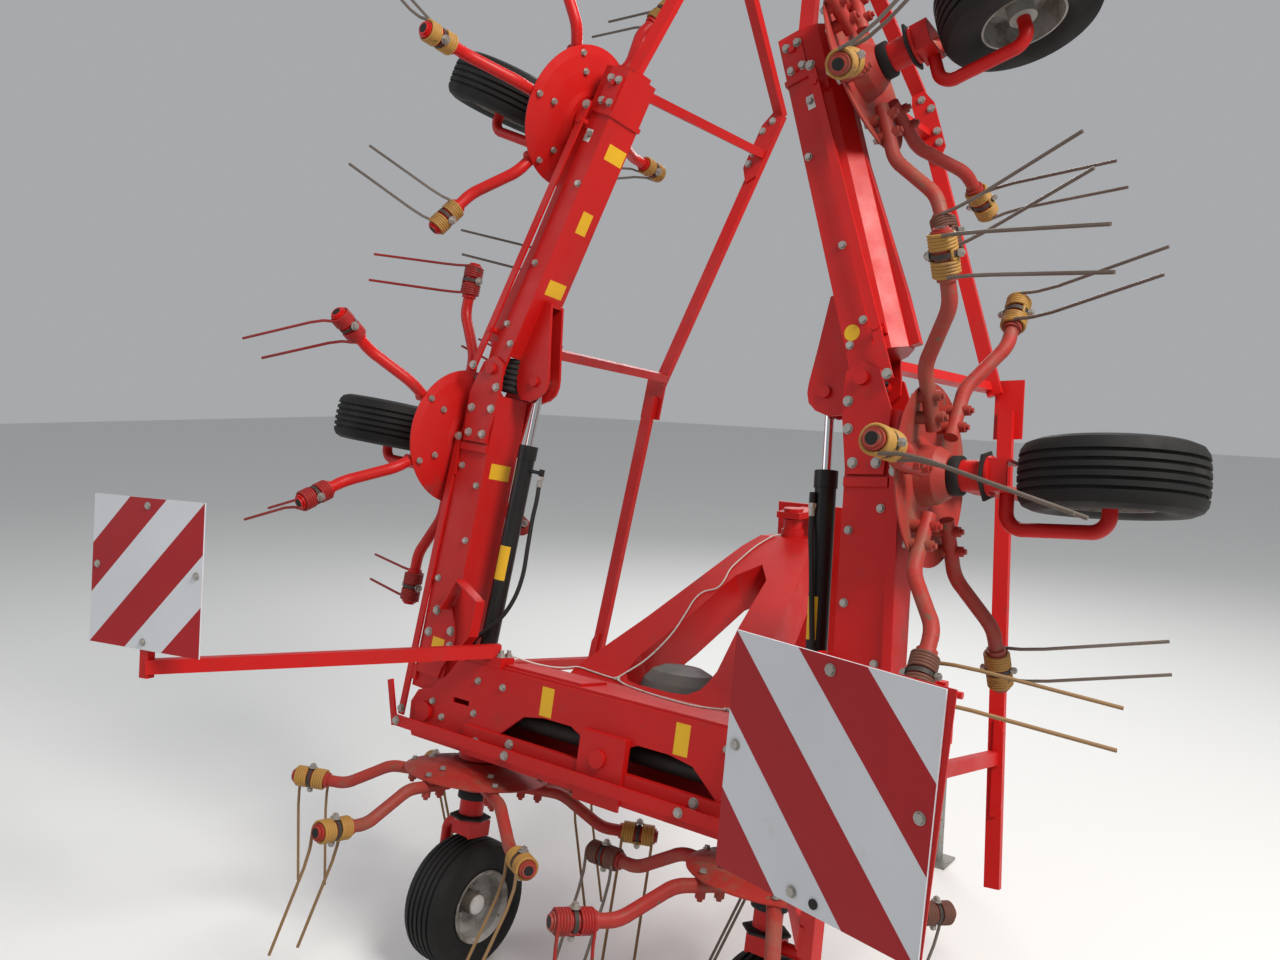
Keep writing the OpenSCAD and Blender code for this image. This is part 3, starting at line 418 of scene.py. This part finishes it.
# the hubs are painted, and the right and centre rotors are the weathered ones
for name in nodes:
    if "hub" in name:
        nodes[name].data.materials[0] = RED
    if name.endswith("_rotor_r") or name.startswith("centre_rotor"):
        nodes[name].data.materials[0] = OLD_RED

# ---- spring tines: one wire makes both coils and both tines of an arm

SPRING_FINISH = [OCHRE, DULL_RED, RUSTY, TINE_STEEL, TINE_OCHRE]
IN_OCHRE, IN_RED, IN_RUST, STEEL_WIRE, OCHRE_WIRE = range(len(SPRING_FINISH))
# finish of each rotor's coils, arm by arm, as the photograph shows them
COILS = {("centre", "l"): [IN_OCHRE] * 6,
         ("centre", "r"): [IN_RUST, IN_RUST, IN_OCHRE, IN_RUST, IN_RED, IN_RUST],
         ("inner", "l"): [IN_RED] * 6,
         ("inner", "r"): [IN_OCHRE, IN_OCHRE, IN_OCHRE, IN_RUST, IN_OCHRE, IN_OCHRE],
         ("outer", "l"): [IN_OCHRE] * 6,
         ("outer", "r"): [IN_OCHRE, IN_RUST, IN_OCHRE, IN_RUST, IN_OCHRE, IN_RUST]}
OCHRE_TINES = {("centre", "l", i) for i in range(ARM_COUNT)} | {("inner", "r", 3)}

WIRE_SIDES = 8
HELIX_STEPS, HELIX_TURNS = 18, COIL_TURNS - 0.15
# a tine leaves its coil straight down, bends, and runs on straight to its tip
TINE_TOP, TINE_STUB, TINE_BEND_R, TINE_BEND_STEPS = 0.010, 0.030, 0.045, 6
TINE_STOPS = (0.12, 0.35, 0.65, 1.0)


def tine_points(x, end):
    """From the coil down to the tip; end is the side that the tine leans to."""
    y0, z0 = end * WIRE_RING, ARM_LOW_Z - TINE_DROP
    a = math.radians(TINE_LEAN)
    pts = [(x, y0, ARM_LOW_Z - TINE_TOP), (x, y0, z0 + TINE_STUB)]
    for i in range(1, TINE_BEND_STEPS):
        b = a * i / TINE_BEND_STEPS
        pts.append((x, end * (WIRE_RING + TINE_BEND_R * (1 - math.cos(b)) * 2),
                    z0 + TINE_STUB - TINE_BEND_R * math.sin(b) * 2.1))
    along = np.array([0, end * math.sin(a), -math.cos(a)])
    return pts + [tuple(np.array([x, y0, z0]) + along * TINE_LEN * f) for f in TINE_STOPS]


def helix(x0, x1, end):
    n = int(HELIX_TURNS * HELIX_STEPS)
    angles = [2 * math.pi * HELIX_TURNS * i / n for i in range(n + 1)]
    return [(x0 + (x1 - x0) * i / n, end * WIRE_RING * math.cos(a),
             ARM_LOW_Z + WIRE_RING * math.sin(a)) for i, a in enumerate(angles)]


def spring_path(end):
    x_in = COIL_START + WIRE_R
    x_out = COIL2_START + COIL_LEN - WIRE_R
    travel = COIL_LEN - 2 * WIRE_R
    first = tine_points(x_in, end)[::-1] + helix(x_in, x_in + travel, end)
    second = helix(x_out, x_out - travel, end)
    return first + second[::-1] + tine_points(x_out, end)


def spring_mats(faces, rings, coil, tine):
    """The coils' finish between the tines, the tines' finish at both ends."""
    n = len(tine_points(0, 1))
    ring = [min(face) // WIRE_SIDES for face in faces]
    return [tine if k < n - 1 or k >= rings - n else coil for k in ring]


def springs(w, q, base):
    b = Build()
    path = spring_path(LEAN[w])
    v, f = sweep(path, WIRE_R, WIRE_SIDES)
    for i, coil in enumerate(COILS[w, q]):
        tine = OCHRE_WIRE if (w, q, i) in OCHRE_TINES else coil if coil == IN_RED else STEEL_WIRE
        b.add(v, f, base @ spin(PHASE[w, q] + 60 * i), spring_mats(f, len(path), coil, tine))
    ob = b.make(f"{w}_spring_tines_{q}", SPRING_FINISH, f"{w}_rotor_{q}",
                smooth=True, sharp=60)
    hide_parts(f"{w}_tines_{q}")


# ---- trim of the rotors and wheels

# clamp between an arm's coils: the dark band's radii and half its width
BAND_R0, BAND_R1, BAND_HALF = 0.0285, 0.0302, COIL_GAP / 2 - 0.0008
# the arm's end, from its second coil
ARM_TIP = 0.0092
DISH_BOLTS = [(0.150, 0.4275), (0.204, 0.4135)]
# bolt through the clamp: sides, radius, and the heights between which it stands
CLAMP_BOLT = [(16, 0.014, 0.031, 0.035), (6, 0.0095, 0.035, 0.043), (6, 0.0095, -0.043, -0.033)]


def rotor_bolts(w, q, base):
    b = Build()
    for i in range(ARM_COUNT):
        arm = base @ spin(PHASE[w, q] + 60 * i)
        clamp = arm @ shift(COIL_START + COIL_LEN + COIL_GAP / 2, 0, ARM_LOW_Z)
        b.add(*prism(12, 0.005, -0.046, 0.046), clamp)
        b.add(*lathe([(BAND_R0, -BAND_HALF), (BAND_R1, -BAND_HALF), (BAND_R1, BAND_HALF),
                      (BAND_R0, BAND_HALF)], 28), clamp @ tilt(90, "Y"), 1)
        end = arm @ shift(COIL2_START + COIL_LEN + ARM_TIP, 0, ARM_LOW_Z) @ tilt(90, "Y")
        b.add(*prism(24, 0.0135, 0, 0.0003), end, 2)
        for step in CLAMP_BOLT:
            b.add(*prism(*step), clamp)
        for x, z in DISH_BOLTS:
            bolt(b, arm @ shift(x, 0, z), r=0.0085, h=0.007)
    b.make(f"{w}_rotor_bolts_{q}", [GALV, IRON, SEAL], f"{w}_rotor_{q}")


# tyre: half its section from the bead to the shoulder, and the places of its grooves
TYRE_FLANK = [(0.118, 0.075), (0.140, 0.0795), (0.168, 0.078), (0.186, 0.070), (0.1945, 0.057)]
GROOVES = (0.040, 0.020, 0.0, -0.020, -0.040)
# points across a groove: how deep below the crown, and how far from the groove's middle
GROOVE = [(0.0005, 0.0042), (0.0075, 0.0028), (0.0075, -0.0028), (0.0005, -0.0042)]
CROWN_DROP = 0.0032


def ribbed_tyre(w, q, wheel):
    prof = [(0.1041, -0.066), (0.1045, 0.066)] + TYRE_FLANK
    for c in GROOVES:
        crown = TYRE_R - CROWN_DROP * abs(c / 0.05) ** 2
        prof += [(crown - depth, c + off) for depth, off in GROOVE]
    prof += [(r, -x) for r, x in TYRE_FLANK[::-1]]
    b = Build()
    b.add(*lathe(prof, 64, closed=True), wheel)
    ob = b.make(f"{w}_ribbed_tyre_{q}", [TYRE], f"{w}_wheel_{q}", smooth=True,
                sharp=30)
    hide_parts(f"{w}_tyre_{q}")


RING = [(0.0472, 0.324), (0.0485, 0.3265), (0.0485, 0.3475), (0.0472, 0.350)]
FLANGE = [(0.0383, 0.262), (0.064, 0.264), (0.064, 0.270), (0.0383, 0.276)]


def hub_seal(w, q, base):
    """Black seal ring and six-sided flange under the rotor."""
    b = Build()
    b.add(*lathe(RING, 40), base)
    b.add(*lathe(FLANGE, 6), base @ spin(15))
    level = LEVEL[w]
    b.make(f"{w}_hub_seal_{q}", [SEAL], BODY[level] + (q if level else ""),
           smooth=True)


CAP = [(0.030, 0.0522), (0.030, 0.055), (0.024, 0.060), (0.010, 0.063), (0.0, 0.0635)]
NUT_COUNT, NUT_CIRCLE = 5, 0.047


def hub_cap(w, q, hub):
    b = Build()
    b.add(*lathe(CAP, 32), hub)
    for i in range(NUT_COUNT):
        nut = hub @ spin(360 / NUT_COUNT * i) @ shift(NUT_CIRCLE, 0, 0)
        b.add(*prism(6, 0.0095, 0.0055, 0.015), nut, 1)
        b.add(*prism(10, 0.0055, 0.015, 0.020), nut, 1)
    b.make(f"{w}_hub_cap_{q}", [LABEL, GALV], f"{w}_wheel_{q}")


for w, q in PHASE:
    carrier = place(SIDES[q], LEVEL[w])
    rotor = carrier @ shift(ROTOR_X[w], ROTOR_Y, 0)
    axle = carrier @ shift(ROTOR_X[w], 0, 0)
    springs(w, q, rotor)
    rotor_bolts(w, q, rotor)
    ribbed_tyre(w, q, axle @ tilt(90, "Y"))
    hub_seal(w, q, rotor)
    hub_cap(w, q, axle @ tilt(RIM_OUT[w] * 90, "Y"))

# ---- striped warning boards

BOARD_LIFT = 0.0003
BOARD_BOLTS = [(0.0, 0.190), (-0.190, 0.012), (0.190, 0.012)]
LOW_BOLT = {"l": (0.0, -0.190), "r": (-0.035, -0.190)}
# the backing sheet's corners on the right board, (x, z): it has slipped outwards and up
BACKING = [(-0.206, -0.205), (0.214, -0.206), (0.226, 0.214), (-0.196, 0.209)]


def clip(poly, n, d0, d1):
    """Convex polygon cut to d0 <= n.p <= d1."""
    for sign, lim in ((1, d0), (-1, -d1)):
        out = []
        for i, p in enumerate(poly):
            after = poly[(i + 1) % len(poly)]
            a = sign * (n[0] * p[0] + n[1] * p[1]) - lim
            c = sign * (n[0] * after[0] + n[1] * after[1]) - lim
            if a >= 0:
                out.append(p)
            if a * c < 0:
                k = a / (a - c)
                out.append((p[0] + (after[0] - p[0]) * k, p[1] + (after[1] - p[1]) * k))
        poly = out
        if not poly:
            break
    return poly


def striped(q):
    """Six 45 degree stripes, three on each side of the board's diagonal."""
    h = BOARD_SIDE / 2
    width = BOARD_SIDE / 3 * math.sqrt(0.5)
    across = (math.sqrt(0.5), math.sqrt(0.5))
    b = Build()
    for k in range(-3, 3):
        poly = clip([(-h, -h), (h, -h), (h, h), (-h, h)], across, k * width, (k + 1) * width)
        v = [(x, -BOARD_LIFT, z) for x, z in poly]
        b.add(v, [list(range(len(v)))], board_frame(q), k % 2)
    b.make(f"board_stripes_{q}", [WHITE, STRIPE], "frame")


def board_bolts(q):
    """Bolt heads in front and their ends behind, and the right board's black plug."""
    m = board_frame(q)
    b = Build()
    if q == "r":
        b.add(*prism(20, 0.0085, 0, 0.003), m @ shift(0.012, -BOARD_LIFT, -0.192) @ BACKWARDS, 1)
    for x, z in BOARD_BOLTS + [LOW_BOLT[q]]:
        bolt(b, m @ shift(x, -0.0004, z) @ BACKWARDS, r=0.0085, h=0.004)
        b.add(*prism(6, 0.008, 0, 0.008), m @ shift(x, BOARD_T + 0.0002, z) @ tilt(-90, "X"))
    b.make(f"board_bolts_{q}", [GALV, SEAL], "frame")


def backing():
    """Red sheet behind the right board."""
    b = Build()
    v = [(x, y, z) for y in (BOARD_T + 0.0002, BOARD_T + 0.0022) for x, z in BACKING]
    f = [[0, 1, 2, 3], [7, 6, 5, 4]]
    f += [[(i + 1) % 4, i, i + 4, (i + 1) % 4 + 4] for i in range(4)]
    b.add(v, f, board_frame("r"))
    b.make("board_backing_r", [RED], "frame")


for q in SIDES:
    striped(q)
    board_bolts(q)
backing()

# ---- bolts, blank labels and small trim on the frame and the wings

# bolts on faces that look backwards: spots (along the arm, above its hinge line), face, head radius
INNER_BOLTS = [
    ([(0.795, -0.063), (0.739, 0.018), (0.420, -0.070), (0.560, 0.018)], ARM_Y0, 0.0088),
    # cheek plate
    ([(0.166, -0.061), (0.269, 0.040), (0.245, -0.058), (0.222, 0.048), (0.320, -0.040)],
     ARM_Y0 - 0.008, 0.012),
    # fork of the outer hinge
    ([(0.905, -0.050), (0.905, 0.012), (0.985, -0.058), (0.990, 0.030), (1.060, 0.034)],
     ARM_Y0 - 0.014, 0.011),
    # steering rod
    ([(-0.023, -0.1136), (0.886, -0.0963)], ARM_Y0 - 0.010, 0.011)]
OUTER_BOLTS = [
    ([(0.792, -0.019), (0.640, 0.018), (0.363, -0.020), (0.150, -0.030), (0.098, 0.018)],
     ARM_Y0, 0.0088),
    # steering rod
    ([(-0.016, -0.0697), (0.870, -0.0523)], ARM_Y0 - 0.030, 0.011),
    # front guard
    ([(1.020, -0.096), (1.062, -0.098), (1.150, -0.098), (1.196, -0.074)],
     GUARD_Y - 0.028, 0.011),
    # end plate
    ([(0.900, 0.012), (0.900, -0.022), (0.972, 0.012), (0.972, -0.022)], ARM_Y0 - 0.005, 0.010)]
# blank labels: lower corner, upper corner, finish (0 yellow, 1 white)
OUTER_LABELS = [
    ((0.742, -0.052, ARM_UP - 0.005), (0.792, 0.034, ARM_UP - 0.005 + LABEL_T), 0),
    ((0.500, -0.042, ARM_UP - 0.005), (0.572, 0.006, ARM_UP - 0.005 + LABEL_T), 0),
    ((0.284, -0.060, ARM_UP - 0.005), (0.334, 0.020, ARM_UP - 0.005 + LABEL_T), 0),
    ((0.768, ARM_Y0 - LABEL_T, -0.036), (0.808, ARM_Y0, -0.010), 1)]
INNER_LABELS = [
    ((0.768, -0.070, ARM_UP), (0.818, 0.020, ARM_UP + LABEL_T), 0),
    ((0.190, ARM_Y0 - 0.008 - LABEL_T, -0.034), (0.236, ARM_Y0 - 0.008, 0.020), 0)]
BARREL_LABEL_Z, BARREL_LABEL_TURN, BARREL_LABEL_COLS = (0.352, 0.462), (-150, -70), 12
BOOT_RIBS, BOOT_PITCH, BOOT_START = 6, 0.018, -0.060
BOOT_RIB = [(0.037, 0), (0.043, 0.006), (0.043, 0.011), (0.037, 0.017)]


def arm_bolts(name, rows, m, body):
    b = Build()
    for spots, y, r in rows:
        bolts_on_back(b, m, spots, y, r=r)
    b.make(name, [GALV], body)


def outer_labels(q, m):
    b = Build()
    for lo, hi, finish in OUTER_LABELS:
        b.add(*box(lo, hi), m, finish)
    if q == "r":
        b.add(*prism(28, 0.021, 0, LABEL_T), m @ shift(0.128, ARM_Y0, 0.006) @ BACKWARDS)
    b.make(f"outer_arm_labels_{q}", [YELLOW, LABEL], f"outer_wing_{q}")


def inner_labels(q, m):
    b = Build()
    for lo, hi, finish in INNER_LABELS:
        b.add(*box(lo, hi), m, finish)
    b.make(f"inner_arm_labels_{q}", [YELLOW], f"inner_wing_{q}")


def barrel_label(q, m):
    """Sheet bent round the cylinder's barrel."""
    b = Build()
    n, r = BARREL_LABEL_COLS, BARREL_R + 0.0003
    v = [(r * math.cos(a), r * math.sin(a), z) for z in BARREL_LABEL_Z
         for a in np.radians(np.linspace(*BARREL_LABEL_TURN, n))]
    b.add(v, [[i, i + 1, i + 1 + n, i + n] for i in range(n - 1)], m)
    b.make(f"barrel_label_{q}", [YELLOW], f"barrel_{q}", smooth=True)


def hinge_boot(q, m):
    """Black boot over the drive joint in the outer hinge."""
    prof = [(0.020, -0.062)]
    for i in range(BOOT_RIBS):
        prof += [(r, BOOT_START + i * BOOT_PITCH + z) for r, z in BOOT_RIB]
    prof += [(0.020, BOOT_START + BOOT_RIBS * BOOT_PITCH)]
    b = Build()
    b.add(*lathe(prof, 28), m @ shift(OUT_X - HINGE_X, -0.028, 0.012) @ tilt(90, "Y"))
    b.make(f"hinge_boot_{q}", [SEAL], f"inner_wing_{q}", smooth=True)


for q, s in SIDES.items():
    inner, outer = wing(s, 1), wing(s, 2)
    arm_bolts(f"inner_arm_bolts_{q}", INNER_BOLTS, inner, f"inner_wing_{q}")
    arm_bolts(f"outer_arm_bolts_{q}", OUTER_BOLTS, outer, f"outer_wing_{q}")
    outer_labels(q, outer)
    inner_labels(q, inner)
    barrel_label(q, cylinder_frame(s))
    hinge_boot(q, inner)

# main beam, by (along, height): its own bolts, those of the arch and those of the steering bar
BEAM_BOLTS = [(0.505, 0.700), (0.505, 0.600), (0.640, 0.560), (0.690, 0.600), (0.400, 0.700)]
ARCH_BOLTS = [(0.470, 0.520), (0.330, 0.545)]
BAR_BOLTS = [(0.790, 0.520), (0.310, 0.520)]
# clamp bolts of a board arm, (x, y) on the clamp plate's top
CLAMP_BOLTS, CLAMP_Z = [(0.440, -0.096), (0.526, -0.066), (0.440, -0.064)], 0.7843
BEAM_LABEL_X, BEAM_LABEL_W, BEAM_LABEL_Z = (-0.244, 0.236), 0.046, (0.650, 0.735)

labels = Build()
for x in BEAM_LABEL_X:
    labels.add(*box((x, BEAM_Y0 - LABEL_T, BEAM_LABEL_Z[0]),
                    (x + BEAM_LABEL_W, BEAM_Y0, BEAM_LABEL_Z[1])), place(1, 0))
labels.make("beam_labels", [YELLOW], "frame")
bolts = Build()
for s in SIDES.values():
    m = place(s, 0)
    bolts_on_back(bolts, m, BEAM_BOLTS, BEAM_Y0)
    bolts_on_back(bolts, m, ARCH_BOLTS, BEAM_Y0 - 0.014, r=0.012)
    for x, y in CLAMP_BOLTS:
        bolt(bolts, m @ shift(x, y, CLAMP_Z), r=0.012, h=0.009, shank=0.012)
    bolts_on_back(bolts, m, BAR_BOLTS, BEAM_Y0 - 0.051, r=0.011)
bolts.make("beam_bolts", [GALV], "frame")

# ---- hoses and ropes, on the routes of the solids that they replace

# millimetres, along a barrel from its base pin
HOSE_ROUTES = {
    "l": [(-77, 0, 689.7), (-77, 0, 678), (-77.5, 0, 662), (-82, -3, 620), (-82, -5, 560),
          (-88, -7, 470), (-94, -10, 390), (-90, -20, 318), (-72, -38, 252), (-30, -52, 196),
          (14, -50, 154), (33, -30, 122), (38, -8, 100), (36, 0, 86), (36, 0, 78), (36, 0, 70.3)],
    "r": [(-20, -30, 689.7), (-20, -30, 676), (-19, -32, 652), (-15, -38, 610), (-8, -40, 550),
          (-1, -40, 450), (5, -40, 370), (12, -40, 290), (24, -38, 210), (36, -26, 150),
          (39, -9, 108), (36, 0, 88), (36, 0, 79), (36, 0, 70.3)]}
# millimetres, on the frame's own level
PULL_ROUTE = [(-458, -66, 787.4), (-436, -50, 787.6), (-408, -20, 779), (-382, 16, 771),
              (-356, 62, 766), (-336, 100, 768), (-306, 118, 775.3), (-240, 114, 772.3),
              (-190, 111, 770), (-144, 108, 768), (-100, 92, 762.4), (-60, 78, 761.4),
              (-16, 64, 761.2), (28, 50, 761.2), (100, 37, 761.2), (178, 34, 761.2),
              (226, 56, 761.2), (262, 92, 762.4)]
DRAWBAR_ROUTE = [(-146, 113, 772), (-132, 140, 792), (-110, 192, 829), (-100, 258, 878),
                 (-100, 323, 928.2), (-112, 392, 981.6), (-125, 451, 1025), (-118, 489, 1053.6),
                 (-84, 512, 1071), (-80, 545, 1095.7), (-94, 600, 1137), (-93, 636, 1164),
                 (-80, 710, 1219.3), (-64, 752, 1250.8), (-44, 784, 1274.8), (-36, 799, 1279.6),
                 (-31.5, 808.9, 1280.8)]
MIDDLE_KNOT = (-145, 110, 770)
ROUTE_STEPS = 6
MM = 1000


def between(a, b, c, d, t):
    """Point of a Catmull-Rom curve from b to c."""
    return 0.5 * (2 * b + (c - a) * t + (2 * a - 5 * b + 4 * c - d) * t * t
                  + (3 * b - a - 3 * c + d) * t ** 3)


def smooth_route(route, m):
    r = np.array(route, float) / MM
    n = len(r)
    pts = [between(r[max(i - 1, 0)], r[i], r[i + 1], r[min(i + 2, n - 1)], j / ROUTE_STEPS)
           for i in range(n - 1) for j in range(ROUTE_STEPS)]
    return transformed(pts + [r[-1]], m)


def cord_tube(name, path, radius, mat, body, sides):
    b = Build()
    b.add(*sweep(path, radius, sides))
    return b.make(name, [mat], body, smooth=True, sharp=60)


def hose_fittings(q, m):
    """At each end a nut on the port and a sleeve on the hose."""
    b = Build()
    for point, up in ((HOSE_ROUTES[q][0], -1), (HOSE_ROUTES[q][-1], 1)):
        base = m @ shift(*[v / MM for v in point])
        b.add(*prism(6, 0.0115, *sorted((0.0, -up * 0.012))), base)
        b.add(*prism(20, 0.0085, *sorted((0.0, up * 0.022))), base)
    return b.make(f"hose_fittings_{q}", [GALV], f"barrel_{q}")


for q, s in SIDES.items():
    m = cylinder_frame(s)
    path = smooth_route(HOSE_ROUTES[q], m)
    hose = cord_tube(f"cylinder_hose_{q}", path, HOSE_R, HOSE, f"barrel_{q}", 12)
    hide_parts(f"hose_{q}")
    hose_fittings(q, m)

KNOT_SIZE = 0.0042


def knot(name, at):
    """Overhand knot: a small trefoil of the same rope."""
    t = np.linspace(0, 2 * math.pi, 61)[:-1]
    k = KNOT_SIZE
    pts = np.stack([k * (np.sin(t) + 1.1 * np.sin(2 * t)), k * (np.cos(t) - 1.1 * np.cos(2 * t)),
                    -k * 0.7 * np.sin(3 * t)], 1)
    b = Build()
    b.add(*sweep(transformed(pts, place(1, 0) @ shift(*[v / MM for v in at])), ROPE_R * 0.9, 8))
    return b.make(name, [ROPE], "frame", smooth=True, sharp=60)


for name, route, node, far, knot_name, at in (
        ("pull_rope_strand", PULL_ROUTE, "pull_rope", "knot", "rope_end_knot", PULL_ROUTE[-1]),
        ("drawbar_rope_strand", DRAWBAR_ROUTE, "drawbar_rope", "object", "rope_middle_knot",
         MIDDLE_KNOT)):
    path = smooth_route(route, place(1, 0))
    rope = cord_tube(name, path, ROPE_R, ROPE, "frame", 10)
    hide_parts(node)
    knot(knot_name, at)

# ---- floor, light and camera

FLOOR_SIZE, FLOOR_Z, FLOOR_COLOR = 60, -0.001, (0.74, 0.74, 0.73, 1)
SKY_COLOR, SKY_STRENGTH = (0.88, 0.90, 0.93, 1), 0.44
# lamps: place, aim, size, power, colour
LAMPS = {"key": ((4.5, -1.0, 6.0), (0, 0, 1.4), 2.5, 520, (1.0, 0.97, 0.92)),
         "fill": ((-5.0, -5.0, 4.0), (0, 0, 1.2), 5.0, 100, (0.93, 0.96, 1.0)),
         "rim": ((-2.0, 5.0, 5.0), (0, 0, 1.4), 3.0, 160, (1.0, 1.0, 1.0))}
# the photograph's camera: its place, its right, down and forward, and its focal length in pixels
CAM_AT = (1.77603, -2.65683, 1.86887)
CAM_RIGHT = (0.79875, 0.60116, 0.02452)
CAM_DOWN = (0.08098, -0.06703, -0.99446)
CAM_FORWARD = (-0.59618, 0.79631, -0.10222)
FOCAL_PX, PHOTO_PX, SENSOR = 1050.4, 1280.0, 36.0

bpy.ops.mesh.primitive_plane_add(size=FLOOR_SIZE, location=(0, 0, FLOOR_Z))
floor = bpy.context.object
floor.name = "floor"
floor_paint, _, floor_bsdf = new_material("pale_floor")
floor_bsdf.inputs["Base Color"].default_value = FLOOR_COLOR
floor_bsdf.inputs["Roughness"].default_value = 0.9
floor.data.materials.append(floor_paint)

world = bpy.data.worlds.new("pale_studio")
bpy.context.scene.world = world
world.use_nodes = True
sky = world.node_tree.nodes["Background"]
sky.inputs[0].default_value = SKY_COLOR
sky.inputs[1].default_value = SKY_STRENGTH

for name, (at, aim, size, power, color) in LAMPS.items():
    lamp = bpy.data.lights.new(name, "AREA")
    lamp.size, lamp.energy, lamp.color = size, power, color
    ob = bpy.data.objects.new(name, lamp)
    ob.location = at
    ob.rotation_euler = (Vector(aim) - Vector(at)).to_track_quat("-Z", "Y").to_euler()
    bpy.context.scene.collection.objects.link(ob)

cam_data = bpy.data.cameras.new("camera")
cam_data.sensor_width = SENSOR
cam_data.lens = FOCAL_PX * SENSOR / PHOTO_PX
cam_data.clip_end = 200
cam = bpy.data.objects.new("camera", cam_data)
cam.matrix_world = Matrix([(right, -down, -forward, at) for right, down, forward, at
                           in zip(CAM_RIGHT, CAM_DOWN, CAM_FORWARD, CAM_AT)] + [(0, 0, 0, 1)])
bpy.context.scene.collection.objects.link(cam)
bpy.context.scene.camera = cam
bpy.context.scene.view_settings.view_transform = "Standard"
